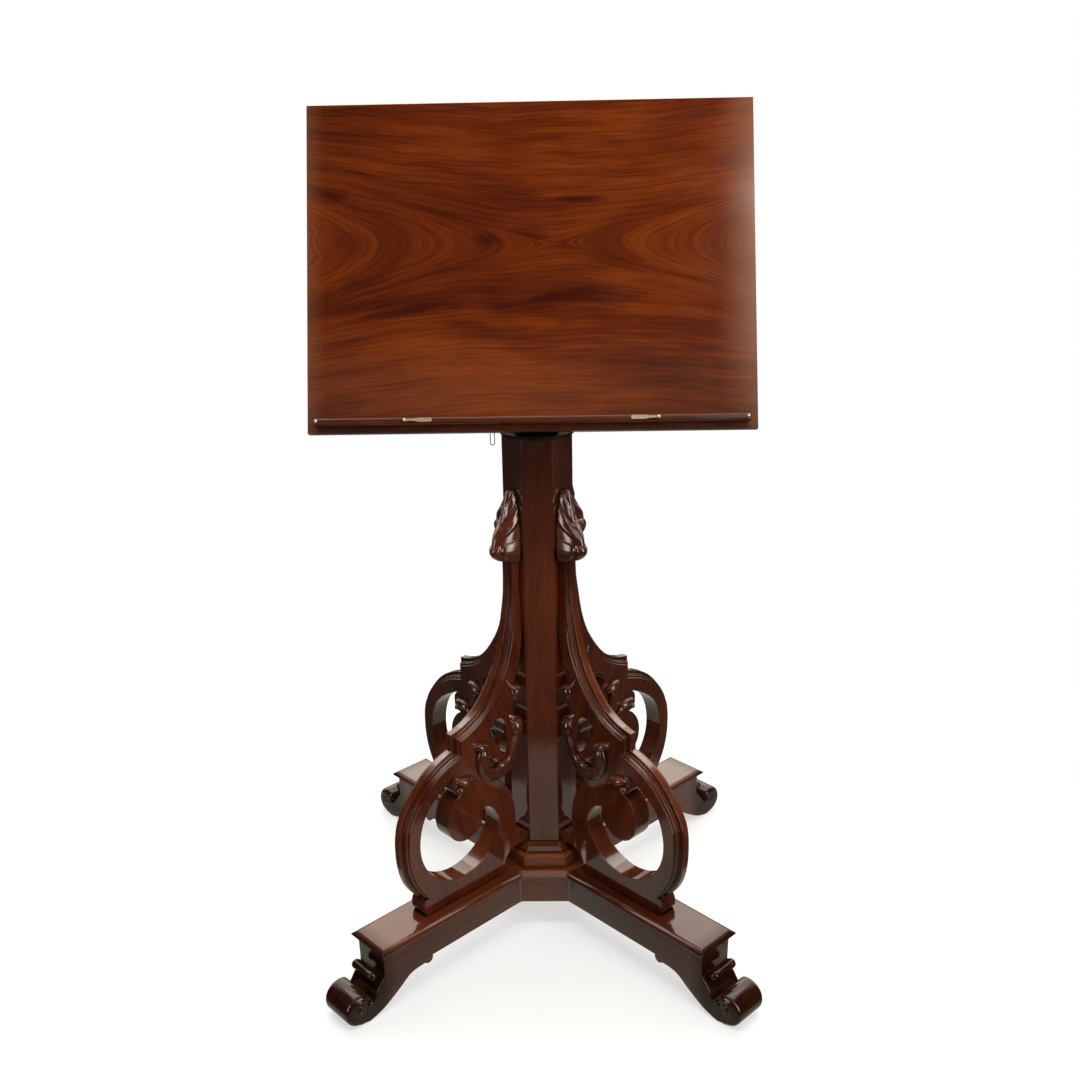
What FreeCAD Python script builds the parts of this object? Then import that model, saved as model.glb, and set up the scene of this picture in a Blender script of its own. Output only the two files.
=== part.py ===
"""Atlas stand: a tilting, swivelling mahogany board on an eight-sided column with four scroll legs.

Frame: origin on the floor under the middle of the column, +Z up, the reader stands at -Y, +X is to
the reader's right.  Lengths are in millimetres and angles in degrees.
"""
import FreeCAD, Part
import os
from math import atan2, cos, degrees, pi, radians, sin, sqrt

from FreeCAD import Placement, Rotation, Vector

doc = FreeCAD.newDocument("AtlasStand")

# ---------------------------------------------------------------------------------------------
# Driving dimensions
# ---------------------------------------------------------------------------------------------

SIZES = [
    # fits
    ("glue_line", 0.02, "gap between glued or screwed faces"),
    ("running_gap", 0.3, "gap between faces that slide past each other"),
    ("bore_gap", 0.05, "radial gap round a shaft, screw or tenon"),
    # column
    ("column_across", 118.0, "distance between the front and back flats"),
    ("column_flat", 52.0, "width of the front, back and side flats"),
    ("column_top", 930.8, "height of the column top above the floor"),
    ("column_tenon_width", 60.0, "diameter of the round tenon in the hub"),
    ("column_tenon_length", 50.0, "length of that tenon"),
    # hub and legs
    ("leg_top", 124.6, "height of the flat top of the legs"),
    ("leg_underside", 57.9, "height of the straight underside of the legs"),
    ("leg_width", 71.2, "thickness of a leg"),
    ("leg_end", 409.4, "end of the flat top, from the axis along the leg"),
    ("leg_joint", 103.0, "butt joint of leg and hub, from the axis"),
    ("hub_front", 93.4, "distance of the hub's facets from the axis"),
    ("cap_reach", 9.3, "how far the cap moulding stands out"),
    ("cap_wash", 8.2, "height of the sloping upper part of the cap"),
    ("cap_cove", 9.4, "height of the hollow lower part of the cap"),
    ("tenon_length", 36.0, "leg tenon, along the leg"),
    ("tenon_width", 30.0, "leg tenon, across the leg"),
    ("tenon_height", 42.0, "leg tenon, upright"),
    # scroll foot, measured from the end of the leg and the floor
    ("toe_reach", 80.0, "how far the toe stands out past the flat top"),
    ("toe_radius", 28.5, "radius of the toe roll"),
    ("bead_radius", 9.0, "radius of the small roll above the hollow"),
    ("bead_height", 74.0, "height of that roll's centre"),
    ("bead_reach", 17.0, "distance of that centre from the end of the leg"),
    ("bead_inset", 7.0, "distance of the roll's ends from the sides of the leg"),
    ("step_depth", 11.4, "drop of the step behind the foot"),
    ("step_place", 307.6, "place of the step, from the axis"),
    # plinth
    ("plinth_across", 168.0, "lower step, between flats"),
    ("plinth_height", 25.0, "height of the lower step"),
    ("plinth_middle", 148.0, "upper step, between flats"),
    ("plinth_fillet", 4.0, "height of the upright part of the upper step"),
    ("plinth_cove", 12.0, "height of the sloping part of the upper step"),
    ("plinth_lip", 3.0, "width of the plinth's top edge round the column"),
    # brackets
    ("bracket_thickness", 36.0, "thickness of the fretted plank"),
    ("bracket_stem", 25.0, "thickness of the slender stem"),
    ("stem_start", 570.0, "height where a bracket begins to thin to its stem"),
    ("stem_neck", 655.0, "height from which the stem has its full slenderness"),
    ("crest_width", 12.0, "width of the moulded edge's middle band"),
    ("crest_rise", 12.0, "how far that band stands out"),
    ("shoulder_width", 30.0, "width of the moulded edge over its two side bands"),
    ("shoulder_rise", 4.5, "how far the side bands stand out"),
    ("finial_foot", 719.0, "height of the underside of the leaf"),
    ("finial_height", 121.0, "height of the leaf"),
    ("finial_reach", 47.0, "how far the leaf stands out from the column"),
    ("finial_width", 38.0, "width of the leaf"),
    # swivel
    ("plate_width", 128.0, "diameter of the swivel plate"),
    ("plate_thickness", 4.0, "thickness of the swivel plate"),
    ("spindle_width", 24.0, "diameter of the spindle"),
    ("spindle_length", 105.0, "length of the spindle below the plate"),
    ("spindle_stub", 16.0, "diameter of the spindle's riveted end in the block"),
    ("spindle_stub_length", 22.0, "length of that end"),
    ("socket_wall", 5.0, "wall of the socket tube"),
    ("socket_flange", 90.0, "diameter of the socket flange"),
    ("socket_flange_thickness", 4.0, "thickness of the socket flange"),
    # pivot block and hinge
    ("pivot_rise", 50.0, "height of the hinge above the swivel plate"),
    ("block_width", 72.0, "width of the pivot block"),
    ("block_depth", 68.0, "depth of the pivot block"),
    ("block_top_radius", 28.0, "radius of the block's rounded top"),
    ("rod_width", 12.0, "diameter of the hinge rod"),
    ("quadrant_thickness", 5.0, "thickness of the ratchet quadrant"),
    ("quadrant_radius", 42.0, "radius over the ratchet teeth"),
    ("quadrant_tooth", 3.5, "depth of a ratchet tooth"),
    ("cheek_gap", 1.0, "gap between quadrant and bearer"),
    ("nut_width", 24.0, "diameter of a hinge rod nut"),
    ("nut_height", 8.0, "height of a hinge rod nut"),
    # board
    ("lean", 21.4, "lean of the board from upright at rest"),
    ("board_width", 725.4, "width of the panel"),
    ("board_height", 537.0, "height of the panel"),
    ("board_thickness", 19.0, "thickness of the panel"),
    ("board_shift", -5.7, "middle of the panel from the middle of the column, across"),
    ("pivot_behind", 53.2, "hinge behind the back of the panel"),
    ("pivot_above", 62.4, "hinge above the foot of the panel, along the panel"),
    ("bearer_thickness", 24.0, "thickness of a bearer, across the stand"),
    ("bearer_start", 12.0, "start of a bearer above the foot of the panel"),
    ("bearer_end", 500.0, "end of a bearer above the foot of the panel"),
    ("bearer_depth", 22.0, "depth of a bearer above its ear"),
    ("bearer_tip", 14.0, "depth of a bearer at its upper end"),
    ("ear_radius", 24.0, "radius of the ear round the hinge rod"),
    # ledge and page fingers
    ("ledge_length", 696.0, "length of the ledge"),
    ("ledge_depth", 25.0, "how far the ledge stands out"),
    ("ledge_thickness", 11.0, "thickness of the ledge"),
    ("ledge_rise", 11.0, "underside of the ledge above the foot of the panel"),
    ("ledge_corner", 4.0, "radius of the ledge's outer corners"),
    ("pin_width", 4.8, "diameter of the ledge pins' heads"),
    ("pin_drop", 4.4, "ledge pins below the top of the ledge"),
    ("pin_inset", 1.9, "ledge pins, from the ledge's ends"),
    ("finger_length", 44.0, "page finger, pivot to tip"),
    ("finger_width", 3.2, "page finger, width of its neck"),
    ("finger_eye", 5.4, "page finger, width of the eye round its pivot"),
    ("finger_tip", 6.6, "page finger, width of its rounded blade"),
    ("finger_thickness", 2.4, "page finger, thickness"),
    ("finger_place", 202.0, "finger pivot, from the middle of the board"),
    ("finger_drop", 4.5, "finger pivot below the top of the ledge"),
    ("finger_pin", 2.6, "diameter of the finger pivot's shank"),
    ("finger_ball", 5.6, "diameter of the finger pivot's ball head"),
    # pawl and wire pull
    ("pawl_thickness", 4.2, "thickness of the pawl"),
    ("pawl_ring", 7.0, "radius of the pawl round its spindle"),
    ("pawl_place", 54.0, "pawl spindle from the hinge"),
    ("pawl_bearing", 200.0, "direction of the pawl spindle from the hinge"),
    ("nose_bearing", 185.0, "direction of the pawl's nose from the hinge"),
    ("pawl_spindle_width", 6.0, "diameter of the pawl spindle"),
    ("crank_thickness", 3.0, "thickness of the crank"),
    ("crank_stand", 4.0, "gap between bearer and crank, filled by the spring"),
    ("spring_wire", 0.8, "wire of the pawl spring"),
    ("spring_turns", 2.5, "turns of the pawl spring"),
    ("crank_across", 11.0, "crank's eye in front of its spindle"),
    ("crank_down", 14.5, "crank's eye below its spindle"),
    ("wire_width", 1.6, "diameter of the wire"),
    ("loop_width", 8.6, "outer width of the wire loop"),
    ("loop_drop", 27.0, "length of the wire loop below the eye"),
    # screws
    ("screw_head", 10.0, "diameter of a wood screw's head"),
    ("screw_shank", 5.0, "diameter of a wood screw's shank"),
    ("bolt_shank", 12.0, "diameter of the column bolt"),
    ("bolt_head", 34.0, "diameter of the column bolt's head"),
]

sheet = doc.addObject("Spreadsheet::Sheet", "Sizes")
for row, (alias, value, note) in enumerate(SIZES, start=1):
    sheet.set("A%d" % row, note)
    sheet.set("B%d" % row, str(value))
    sheet.setAlias("B%d" % row, alias)
doc.recompute()


def size(alias):
    """The value of a driving dimension."""
    return float(sheet.get(alias))


# Places worked out from the driving dimensions.
FLAT = size("column_across") / 2
DIAGONAL = (FLAT + size("column_flat") / 2) / sqrt(2)
LEG_HALF = size("leg_width") / 2
CAP_BASE = size("leg_top") - size("cap_wash") - size("cap_cove")
CAP_ARRIS = size("leg_top") - size("cap_wash")
SEAT = size("leg_top") + size("glue_line")
PLATE_FOOT = size("column_top") + size("running_gap")
PLATE_TOP = PLATE_FOOT + size("plate_thickness")
PIVOT = Vector(0, 0, PLATE_TOP + size("pivot_rise"))
LEG_ANGLES = {"front_left": 225, "front_right": 315, "back_left": 135, "back_right": 45}
SIDES = {"left": -1, "right": 1}

# Placement of the board's own frame: x to the right, y from the panel's front into it, z up the panel.
TILT = Rotation(Vector(1, 0, 0), -size("lean"))
PIVOT_ON_BOARD = Vector(0, size("board_thickness") + size("pivot_behind"), size("pivot_above"))
BOARD = Placement(PIVOT - TILT.multVec(PIVOT_ON_BOARD), TILT)

BEARER_INNER = size("block_width") / 2 + size("glue_line") + size("quadrant_thickness") + size("cheek_gap")
BEARER_OUTER = BEARER_INNER + size("bearer_thickness")


# ---------------------------------------------------------------------------------------------
# Helpers
# ---------------------------------------------------------------------------------------------

class Outline:
    """A closed outline in a sketch, drawn piece by piece from a starting point."""

    def __init__(self, start):
        self.start = Vector(*start, 0)
        self.here = self.start
        self.pieces = []

    def line(self, *points):
        """Straight lines through the points."""
        for point in points:
            end = Vector(*point, 0)
            self.pieces.append(Part.LineSegment(self.here, end))
            self.here = end
        return self

    def arc(self, through, end):
        """A circular arc through one point to the next."""
        end = Vector(*end, 0)
        self.pieces.append(Part.Arc(self.here, Vector(*through, 0), end))
        self.here = end
        return self

    def curve(self, *points):
        """A smooth curve through the points."""
        spline = Part.BSplineCurve()
        spline.interpolate([self.here] + [Vector(*point, 0) for point in points])
        self.pieces.append(spline)
        self.here = Vector(*points[-1], 0)
        return self

    def close(self):
        """A straight line back to the start."""
        self.pieces.append(Part.LineSegment(self.here, self.start))
        self.here = self.start
        return self


def polygon(points):
    """A closed outline of straight lines."""
    return Outline(points[0]).line(*points[1:]).close()


def polar(radius, angle, middle=(0, 0)):
    """A point at a radius and an angle in degrees from a middle point."""
    return middle[0] + radius * cos(radians(angle)), middle[1] + radius * sin(radians(angle))


def new_body(label):
    """An empty body with its label."""
    body = doc.addObject("PartDesign::Body", "Body")
    body.Label = label
    return body


def add_sketch(body, role, outlines, offset=0.0):
    """A sketch on one of the body's own origin planes, moved along that plane's normal."""
    sketch = body.newObject("Sketcher::SketchObject", "Sketch")
    plane = next(item for item in body.Origin.OriginFeatures if item.Role == role)
    sketch.AttachmentSupport = [(plane, "")]
    sketch.MapMode = "FlatFace"
    sketch.AttachmentOffset = Placement(Vector(0, 0, offset), Rotation())
    for outline in outlines:
        sketch.addGeometry(outline.pieces, False)
    return sketch


def add_pad(body, role, outlines, length, offset=0.0, both_ways=False, reverse=False):
    """A pad whose length is an expression of the sheet."""
    pad = body.newObject("PartDesign::Pad", "Pad")
    pad.Profile = add_sketch(body, role, outlines, offset)
    pad.setExpression("Length", length)
    pad.SideType = "Symmetric" if both_ways else "One side"
    pad.Reversed = reverse
    return pad


def add_pocket(body, role, outlines, length, offset=0.0, both_ways=False, reverse=False):
    """A pocket whose length is an expression of the sheet; it must remove material."""
    doc.recompute()
    before = body.Shape.Volume
    pocket = body.newObject("PartDesign::Pocket", "Pocket")
    pocket.Profile = add_sketch(body, role, outlines, offset)
    pocket.setExpression("Length", length)
    pocket.SideType = "Symmetric" if both_ways else "One side"
    pocket.Reversed = reverse
    doc.recompute()
    if not body.Shape.Volume < before:
        raise ValueError(body.Label + ": a pocket cuts nothing")
    return pocket


def add_loft(body, sections):
    """A ruled loft through outlines at their heights."""
    sketches = [add_sketch(body, "XY_Plane", [outline], height) for height, outline in sections]
    loft = body.newObject("PartDesign::AdditiveLoft", "Loft")
    loft.Profile = sketches[0]
    loft.Sections = sketches[1:]
    loft.Ruled = True
    return loft


def box(label, length, width, height, corner, placement=Placement()):
    """A box with bound sizes; corner is its lowest corner in the placement's frame."""
    item = doc.addObject("Part::Box", "Box")
    item.Label = label
    item.setExpression("Length", length)
    item.setExpression("Width", width)
    item.setExpression("Height", height)
    item.Placement = placement.multiply(Placement(corner, Rotation()))
    return item


def cylinder(label, radius, height, base, direction=Vector(0, 0, 1), placement=Placement()):
    """A cylinder with bound sizes, from its base point along a direction."""
    item = doc.addObject("Part::Cylinder", "Cylinder")
    item.Label = label
    item.setExpression("Radius", radius)
    item.setExpression("Height", height)
    item.Placement = placement.multiply(Placement(base, Rotation(Vector(0, 0, 1), direction)))
    return item


def fuse(label, parts):
    """One solid from several that meet."""
    item = doc.addObject("Part::MultiFuse", "Fusion")
    item.Label = label
    item.Shapes = parts
    item.Refine = True
    return item


def cut(label, base, tools):
    """A solid less its tools."""
    tool = tools[0] if len(tools) == 1 else fuse(label + "_tools", tools)
    item = doc.addObject("Part::Cut", "Cut")
    item.Label = label
    item.Base = base
    item.Tool = tool
    return item


def group(label, shapes):
    """Identical separate solids in one object."""
    item = doc.addObject("Part::Feature", "Group")
    item.Label = label
    item.Shape = Part.makeCompound(shapes)
    return item


def screw_shape(place, direction, length, gap=0.0):
    """A countersunk screw whose flat head lies in the surface at place and which points along direction."""
    head = size("screw_head") / 2 + gap
    shank = size("screw_shank") / 2 + gap
    depth = head - shank
    cone = Part.makeCone(head, shank, depth, place, direction)
    inside = place + Vector(direction).normalize() * depth
    pin = Part.makeCylinder(shank, length - depth + gap, inside, direction)
    return cone.fuse(pin).removeSplitter()


def screw_group(label, places, direction, length):
    """The screws at their places, and the tool that drills their holes."""
    screws = group(label, [screw_shape(place, direction, length) for place in places])
    gap = size("bore_gap")
    drill = group(label + "_holes", [screw_shape(place, direction, length, gap) for place in places])
    return screws, drill


def placed(placement, points):
    """Points of a placement's frame in the stand's frame."""
    return [placement.multVec(point) for point in points]


# ---------------------------------------------------------------------------------------------
# Base: hub, legs, column, plinth
# ---------------------------------------------------------------------------------------------

def octagon(across):
    """Eight corners round the axis, with the column's proportion of flats to diagonals."""
    half, flat = across / 2, across / 2 * size("column_flat") / size("column_across")
    corners = [(half, flat), (flat, half), (-flat, half), (-half, flat)]
    return corners + [(-x, -y) for x, y in corners]


def hub_plan(grow):
    """The hub seen from above: four facets between four square stubs that meet the legs."""
    points = []
    side = LEG_HALF + grow
    inner = sqrt(2) * (size("hub_front") + grow) - side
    for angle in (45, 135, 225, 315):
        reach = size("leg_joint")
        for along, across in ((inner, -side), (reach, -side), (reach, side), (inner, side)):
            points.append(tuple(Rotation(Vector(0, 0, 1), angle).multVec(Vector(along, across, 0)))[:2])
    return points


def make_hub():
    """Hub with its moulded cap, one round mortise for the column and four for the legs."""
    body = new_body("hub_block")
    add_pad(body, "XY_Plane", [polygon(hub_plan(0))],
            "Sizes.leg_top - Sizes.cap_wash - Sizes.cap_cove - Sizes.leg_underside", size("leg_underside"))
    add_loft(body, [(CAP_BASE, polygon(hub_plan(0))),
                    (CAP_ARRIS, polygon(hub_plan(size("cap_reach")))),
                    (size("leg_top"), polygon(hub_plan(0)))])
    doc.recompute()
    gap = size("bore_gap")
    mortise_foot = Vector(0, 0, size("leg_top") - size("column_tenon_length") - gap)
    mortise = cylinder("hub_mortise", "Sizes.column_tenon_width / 2 + Sizes.bore_gap",
                       "Sizes.column_tenon_length + 1", mortise_foot)
    slots = []
    for angle in LEG_ANGLES.values():
        corner = Vector(size("leg_joint") - size("tenon_length") - gap, -size("tenon_width") / 2 - gap,
                        tenon_foot() - gap)
        slots.append(box("hub_slot", "Sizes.tenon_length + Sizes.bore_gap + 1",
                         "Sizes.tenon_width + 2 * Sizes.bore_gap", "Sizes.tenon_height + 2 * Sizes.bore_gap",
                         corner, Placement(Vector(), Rotation(Vector(0, 0, 1), angle))))
    body.Label = "hub_blank"
    return body, [mortise] + slots


def tenon_foot():
    """Height of the underside of the leg tenons."""
    return (size("leg_underside") + CAP_BASE - size("tenon_height")) / 2


def foot_outline():
    """Side view of a leg: radius from the axis along x, height along y."""
    end = size("leg_end") + size("cap_reach") * 0.15
    tip = size("leg_end") + size("toe_reach")
    roll = size("toe_radius")
    middle = (tip - roll, roll)
    shoulder = size("bead_height") - size("bead_radius")
    floor_flat = 8.0
    lappet = size("leg_underside") - size("step_depth")
    step = size("step_place")
    outline = Outline((size("leg_joint"), CAP_BASE))
    outline.line((size("leg_joint"), size("leg_underside")), (step, size("leg_underside")))
    outline.line((step + 1, lappet + 2))
    outline.arc((step + 8, lappet - 1), (step + 19, lappet + 3))
    outline.curve((end - 55, lappet - 1), (end - 28, 0.6 * lappet), (end + 4, 0.2 * lappet),
                  (middle[0] - floor_flat, 0))
    outline.line((middle[0], 0))
    outline.arc(polar(roll, 0, middle), polar(roll, 100, middle))
    outline.arc(polar(roll * 0.86, 140, middle), (middle[0] - roll * 0.35, middle[1] + 8))
    outline.curve((end + 33, 34), (end + 24, 38), (end + 17, 47), (end + 9, 0.88 * shoulder), (end, shoulder))
    outline.line((end, CAP_BASE))
    return outline.close()


def bead_outline():
    """Side view of the small roll in the hollow of the foot, with its root in the leg."""
    end, radius = size("leg_end") + size("cap_reach") * 0.15, size("bead_radius")
    middle = (end + size("bead_reach"), size("bead_height"))
    outline = Outline((end - 2, middle[1] - 0.6 * radius)).line(polar(radius, -110, middle))
    outline.arc(polar(radius, 0, middle), polar(radius, 110, middle))
    return outline.line((end - 2, middle[1] + 0.6 * radius)).close()


def cap_rectangle(grow, end):
    """The cap of a leg seen from above."""
    side = LEG_HALF + grow
    return polygon([(size("leg_joint"), -side), (end, -side), (end, side), (size("leg_joint"), side)])


def make_leg(name, angle):
    """Leg with its moulded cap, scroll foot and tenon."""
    body = new_body("leg_" + name)
    body.Placement = Placement(Vector(), Rotation(Vector(0, 0, 1), angle))
    add_pad(body, "XZ_Plane", [foot_outline()], "Sizes.leg_width", both_ways=True)
    add_pad(body, "XZ_Plane", [bead_outline()], "Sizes.leg_width - 2 * Sizes.bead_inset", both_ways=True)
    reach = size("cap_reach")
    add_loft(body, [(CAP_BASE, cap_rectangle(0, size("leg_end") + 0.15 * reach)),
                    (CAP_ARRIS, cap_rectangle(reach, size("leg_end") + reach)),
                    (size("leg_top"), cap_rectangle(0, size("leg_end")))])
    side = size("tenon_width") / 2
    foot = tenon_foot()
    tenon = polygon([(-side, foot), (side, foot), (side, foot + size("tenon_height")),
                     (-side, foot + size("tenon_height"))])
    add_pad(body, "YZ_Plane", [tenon], "Sizes.tenon_length", size("leg_joint"), reverse=True)
    return body


def make_column():
    """Eight-sided column with its round tenon, bored for the spindle socket."""
    body = new_body("column_blank")
    add_pad(body, "XY_Plane", [polygon(octagon(size("column_across")))],
            "Sizes.column_top - Sizes.leg_top - Sizes.glue_line", SEAT)
    doc.recompute()
    tenon = cylinder("column_tenon", "Sizes.column_tenon_width / 2", "Sizes.column_tenon_length",
                     Vector(0, 0, size("leg_top") - size("column_tenon_length") + size("glue_line")))
    return fuse("column_whole", [body, tenon])


def socket_depth():
    """Depth of the spindle socket below the column top."""
    return size("spindle_length") + size("running_gap") + 4.0


def socket_solid(gap):
    """Outer form of the spindle socket, larger by a gap."""
    radius = size("spindle_width") / 2 + size("bore_gap") + size("socket_wall") + gap
    tube = cylinder("socket_tube", "%f" % radius, "%f" % (socket_depth() + gap),
                    Vector(0, 0, size("column_top") - socket_depth() - gap))
    flange = cylinder("socket_flange", "Sizes.socket_flange / 2 + %f" % gap,
                      "Sizes.socket_flange_thickness + %f" % gap,
                      Vector(0, 0, size("column_top") - size("socket_flange_thickness") - gap))
    return fuse("socket_form", [tube, flange])


def make_socket(label):
    """Spindle socket: flanged tube with a closed foot."""
    bore = cylinder("socket_bore", "Sizes.spindle_width / 2 + Sizes.bore_gap", "%f" % socket_depth(),
                    Vector(0, 0, size("column_top") - socket_depth() + 3.0))
    return cut(label, socket_solid(0.0), [bore])


def make_plinth():
    """Moulding round the foot of the column, in two steps."""
    body = new_body("plinth_blank")
    low, middle = size("plinth_across"), size("plinth_middle")
    top = size("column_across") + 2 * size("plinth_lip")
    first = SEAT + size("plinth_height")
    second = first + size("plinth_fillet")
    bevel = 3.0
    add_loft(body, [(SEAT, polygon(octagon(low))), (first - bevel, polygon(octagon(low))),
                    (first, polygon(octagon(low - 2 * bevel)))])
    add_loft(body, [(first, polygon(octagon(middle))), (second, polygon(octagon(middle))),
                    (second + size("plinth_cove") * 0.4, polygon(octagon(0.35 * middle + 0.65 * top))),
                    (second + size("plinth_cove"), polygon(octagon(top)))])
    inner = octagon(size("column_across") + 2 * size("glue_line"))
    total = "Sizes.plinth_height + Sizes.plinth_fillet + Sizes.plinth_cove + 2"
    add_pocket(body, "XY_Plane", [polygon(inner)], total, SEAT - 1, reverse=True)
    body.Label = "column_plinth"
    return body


def plinth_top():
    """Height of the top of the plinth."""
    return SEAT + size("plinth_height") + size("plinth_fillet") + size("plinth_cove")


# ---------------------------------------------------------------------------------------------
# Brackets
# ---------------------------------------------------------------------------------------------

# The outer edge of a bracket, measured from the column's facet along the leg and from the floor.  The third
# number is the share of the moulding's rise that is left there.
SCROLL = [(257, 193, 1.0), (268, 225, 1.0), (271.5, 262, 1.0), (266, 306, 1.0), (244, 342, 1.0), (211, 375.5, 1.0),
          (180, 392, 1.0)]
CUSP = (150, 401, 430)
SWEEP = [(118, 442.5, 1.0), (92, 459, 1.0), (60, 496, 1.0), (39, 532, 1.0), (25, 574, 1.0), (18, 622, 0.6),
         (15.3, 675, 0.25)]
STEM = 15.0


def facet():
    """Distance of the brackets' backs from the axis."""
    return DIAGONAL + size("glue_line")


def raised(points, before, after, rise):
    """Points of the outer edge moved outward by their share of the rise."""
    chain = [before] + [point[:2] for point in points] + [after]
    moved_points = []
    for (x, y, share), last, following in zip(points, chain, chain[2:]):
        along = (following[0] - last[0], following[1] - last[1])
        length = sqrt(along[0] ** 2 + along[1] ** 2)
        moved_points.append((facet() + x + rise * share * along[1] / length, y - rise * share * along[0] / length))
    return moved_points


def outer_edge(outline, rise):
    """Adds the scroll, the cusp and the long sweep to an outline that stands at the crease."""
    cusp, low, high = CUSP
    crease = (234 + rise / 2, SEAT + 32)
    outline.line((facet() + crease[0], crease[1]))
    outline.curve(*(raised(SCROLL, crease, (cusp, low), rise) + [(facet() + cusp + rise, low + 0.8 * rise)]))
    start = (facet() + cusp + rise, high + rise)
    outline.line(start)
    top = (STEM, size("finial_foot"))
    outline.curve(*(raised(SWEEP, (cusp, high), top, rise) + [(facet() + STEM + 0.25 * rise, top[1])]))
    return outline


def bracket_outline():
    """Side view of a bracket: radius from the axis along x, height along y."""
    back = facet()
    floor = SEAT
    foot = size("finial_foot")
    outline = Outline((back, foot))
    # down the back of the stem, then away from the column past two small curls
    outline.line((back, size("stem_start") + 30))
    outline.curve((back + 4, 575), (back + 12, 530), (back + 27, 494))
    outline.arc((back + 9, 475), (back + 27, 461))
    outline.curve((back + 38, 442), (back + 34, 424))
    outline.arc((back + 6, 410), (back + 25, 397))
    outline.curve((back + 23, 370), (back + 32, 349), (back + 46, 334), (back + 64, 327), (back + 82, 329))
    # into the crease, then round the inner volute down to the lug on the column
    outline.curve((back + 70, 322), (back + 57, 311))
    outline.arc((back + 34, 262), (back + 33, 202))
    outline.line((back + 24, 191))
    outline.arc((back + 12, 190), (back, 184))
    outline.line((back, plinth_top() + 2.0), (back + 20, plinth_top() + 2.0))
    outline.arc((back + 50, floor + 35), (back + 61, floor + 13))
    outline.line((back + 61, floor), (back + 241, floor))
    # base block and its rounded end, then the moulded outer edge
    outline.arc((back + 247, floor + 16), (back + 240, floor + 32))
    return outer_edge(outline, 0.0).close()


def moulding_outline(rise):
    """Side view of one band of the moulded edge, rooted inside the plank."""
    root = -6.0
    outline = Outline((facet() + 228, SEAT + 20))
    outer_edge(outline, rise)
    inside = [(point[0], point[1]) for point in raised(SWEEP, CUSP[::2], (STEM, size("finial_foot")), root)]
    scroll = [(point[0], point[1]) for point in raised(SCROLL, (234, SEAT + 32), CUSP[:2], root)]
    outline.line((facet() + STEM + root, size("finial_foot")))
    outline.line(*inside[::-1]).line((facet() + CUSP[0] + root, CUSP[1])).line(*scroll[::-1])
    return outline.close()


def bracket_window():
    """The opening between the big scroll and the inner volute."""
    back = facet()
    window = Outline((back + 153, 330))
    window.arc((back + 168, 335), (back + 172, 350))
    window.arc((back + 171, 362), (back + 163, 371))
    window.curve((back + 202, 350), (back + 231, 323), (back + 243, 297), (back + 248, 264))
    window.arc((back + 236, 216), (back + 192, 174))
    window.arc((back + 133, 169), (back + 79.5, 209.5))
    window.arc((back + 69.5, 236), (back + 77, 262))
    window.arc((back + 88, 275), (back + 104, 282))
    window.line((back + 107, 266))
    window.arc((back + 145, 234.5), (back + 184.5, 270))
    window.arc((back + 183, 295), (back + 172, 315))
    window.arc((back + 164, 324), (back + 153, 330))
    return window


def bracket_eye():
    """The small opening between the long sweep and the carved leaves: a bean that leans outward."""
    back = facet()
    eye = Outline((back + 44, 402))
    eye.curve((back + 47, 420), (back + 51, 433), (back + 59, 440), (back + 70, 441), (back + 80, 434),
              (back + 84, 423))
    eye.curve((back + 81, 411), (back + 73, 399), (back + 65, 387), (back + 59, 376), (back + 52, 371),
              (back + 46, 377), (back + 43, 390), (back + 44, 402))
    return eye


def leaf_section(height_share, reach_share, width_share):
    """A section of the leaf finial: flat back on the column, half an ellipse in front."""
    back = facet()
    reach = size("finial_reach") * reach_share
    half = size("finial_width") / 2 * width_share
    points = []
    for step in range(1, 8):
        angle = pi * (step / 8.0 - 0.5)
        points.append((back + reach * cos(angle), half * sin(angle)))
    outline = Outline((back, -half)).curve(*(points + [(back, half)])).close()
    return size("finial_foot") + size("finial_height") * height_share, outline


LEAF = [(0.0, 0.42, 0.78), (0.02, 0.60, 0.84), (0.05, 0.76, 0.90), (0.09, 0.89, 0.95), (0.14, 0.98, 0.99),
        (0.2, 1.03, 1.0), (0.27, 1.0, 0.99), (0.36, 0.91, 0.96), (0.42, 0.82, 0.93), (0.48, 0.70, 0.89),
        (0.53, 0.59, 0.85), (0.58, 0.52, 0.80), (0.63, 0.47, 0.75), (0.7, 0.43, 0.69), (0.8, 0.36, 0.6),
        (0.9, 0.31, 0.48), (0.96, 0.28, 0.38), (1.0, 0.20, 0.26)]


def make_bracket(name, angle):
    """Fretted scroll bracket, thinned to a stem at the top, with a carved leaf at its head."""
    body = new_body("bracket_" + name)
    body.Placement = Placement(Vector(), Rotation(Vector(0, 0, 1), angle))
    outlines = [bracket_outline(), bracket_window(), bracket_eye()]
    add_pad(body, "XZ_Plane", outlines, "Sizes.bracket_thickness", both_ways=True)
    add_pad(body, "XZ_Plane", [moulding_outline(size("shoulder_rise"))], "Sizes.shoulder_width", both_ways=True)
    add_pad(body, "XZ_Plane", [moulding_outline(size("crest_rise"))], "Sizes.crest_width", both_ways=True)
    half, stem, top = size("bracket_thickness") / 2, size("bracket_stem") / 2, size("finial_foot")
    start, neck = size("stem_start"), size("stem_neck")
    cheeks = [polygon([(side * half, start), (side * stem, neck), (side * stem, top + 1),
                       (side * (half + 1), top + 1), (side * (half + 1), start)]) for side in (-1, 1)]
    add_pocket(body, "YZ_Plane", cheeks, "%f" % 200, DIAGONAL, reverse=True)
    add_loft(body, [leaf_section(*share) for share in LEAF])
    return body


# ---------------------------------------------------------------------------------------------
# Head: swivel plate, block, hinge
# ---------------------------------------------------------------------------------------------

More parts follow.
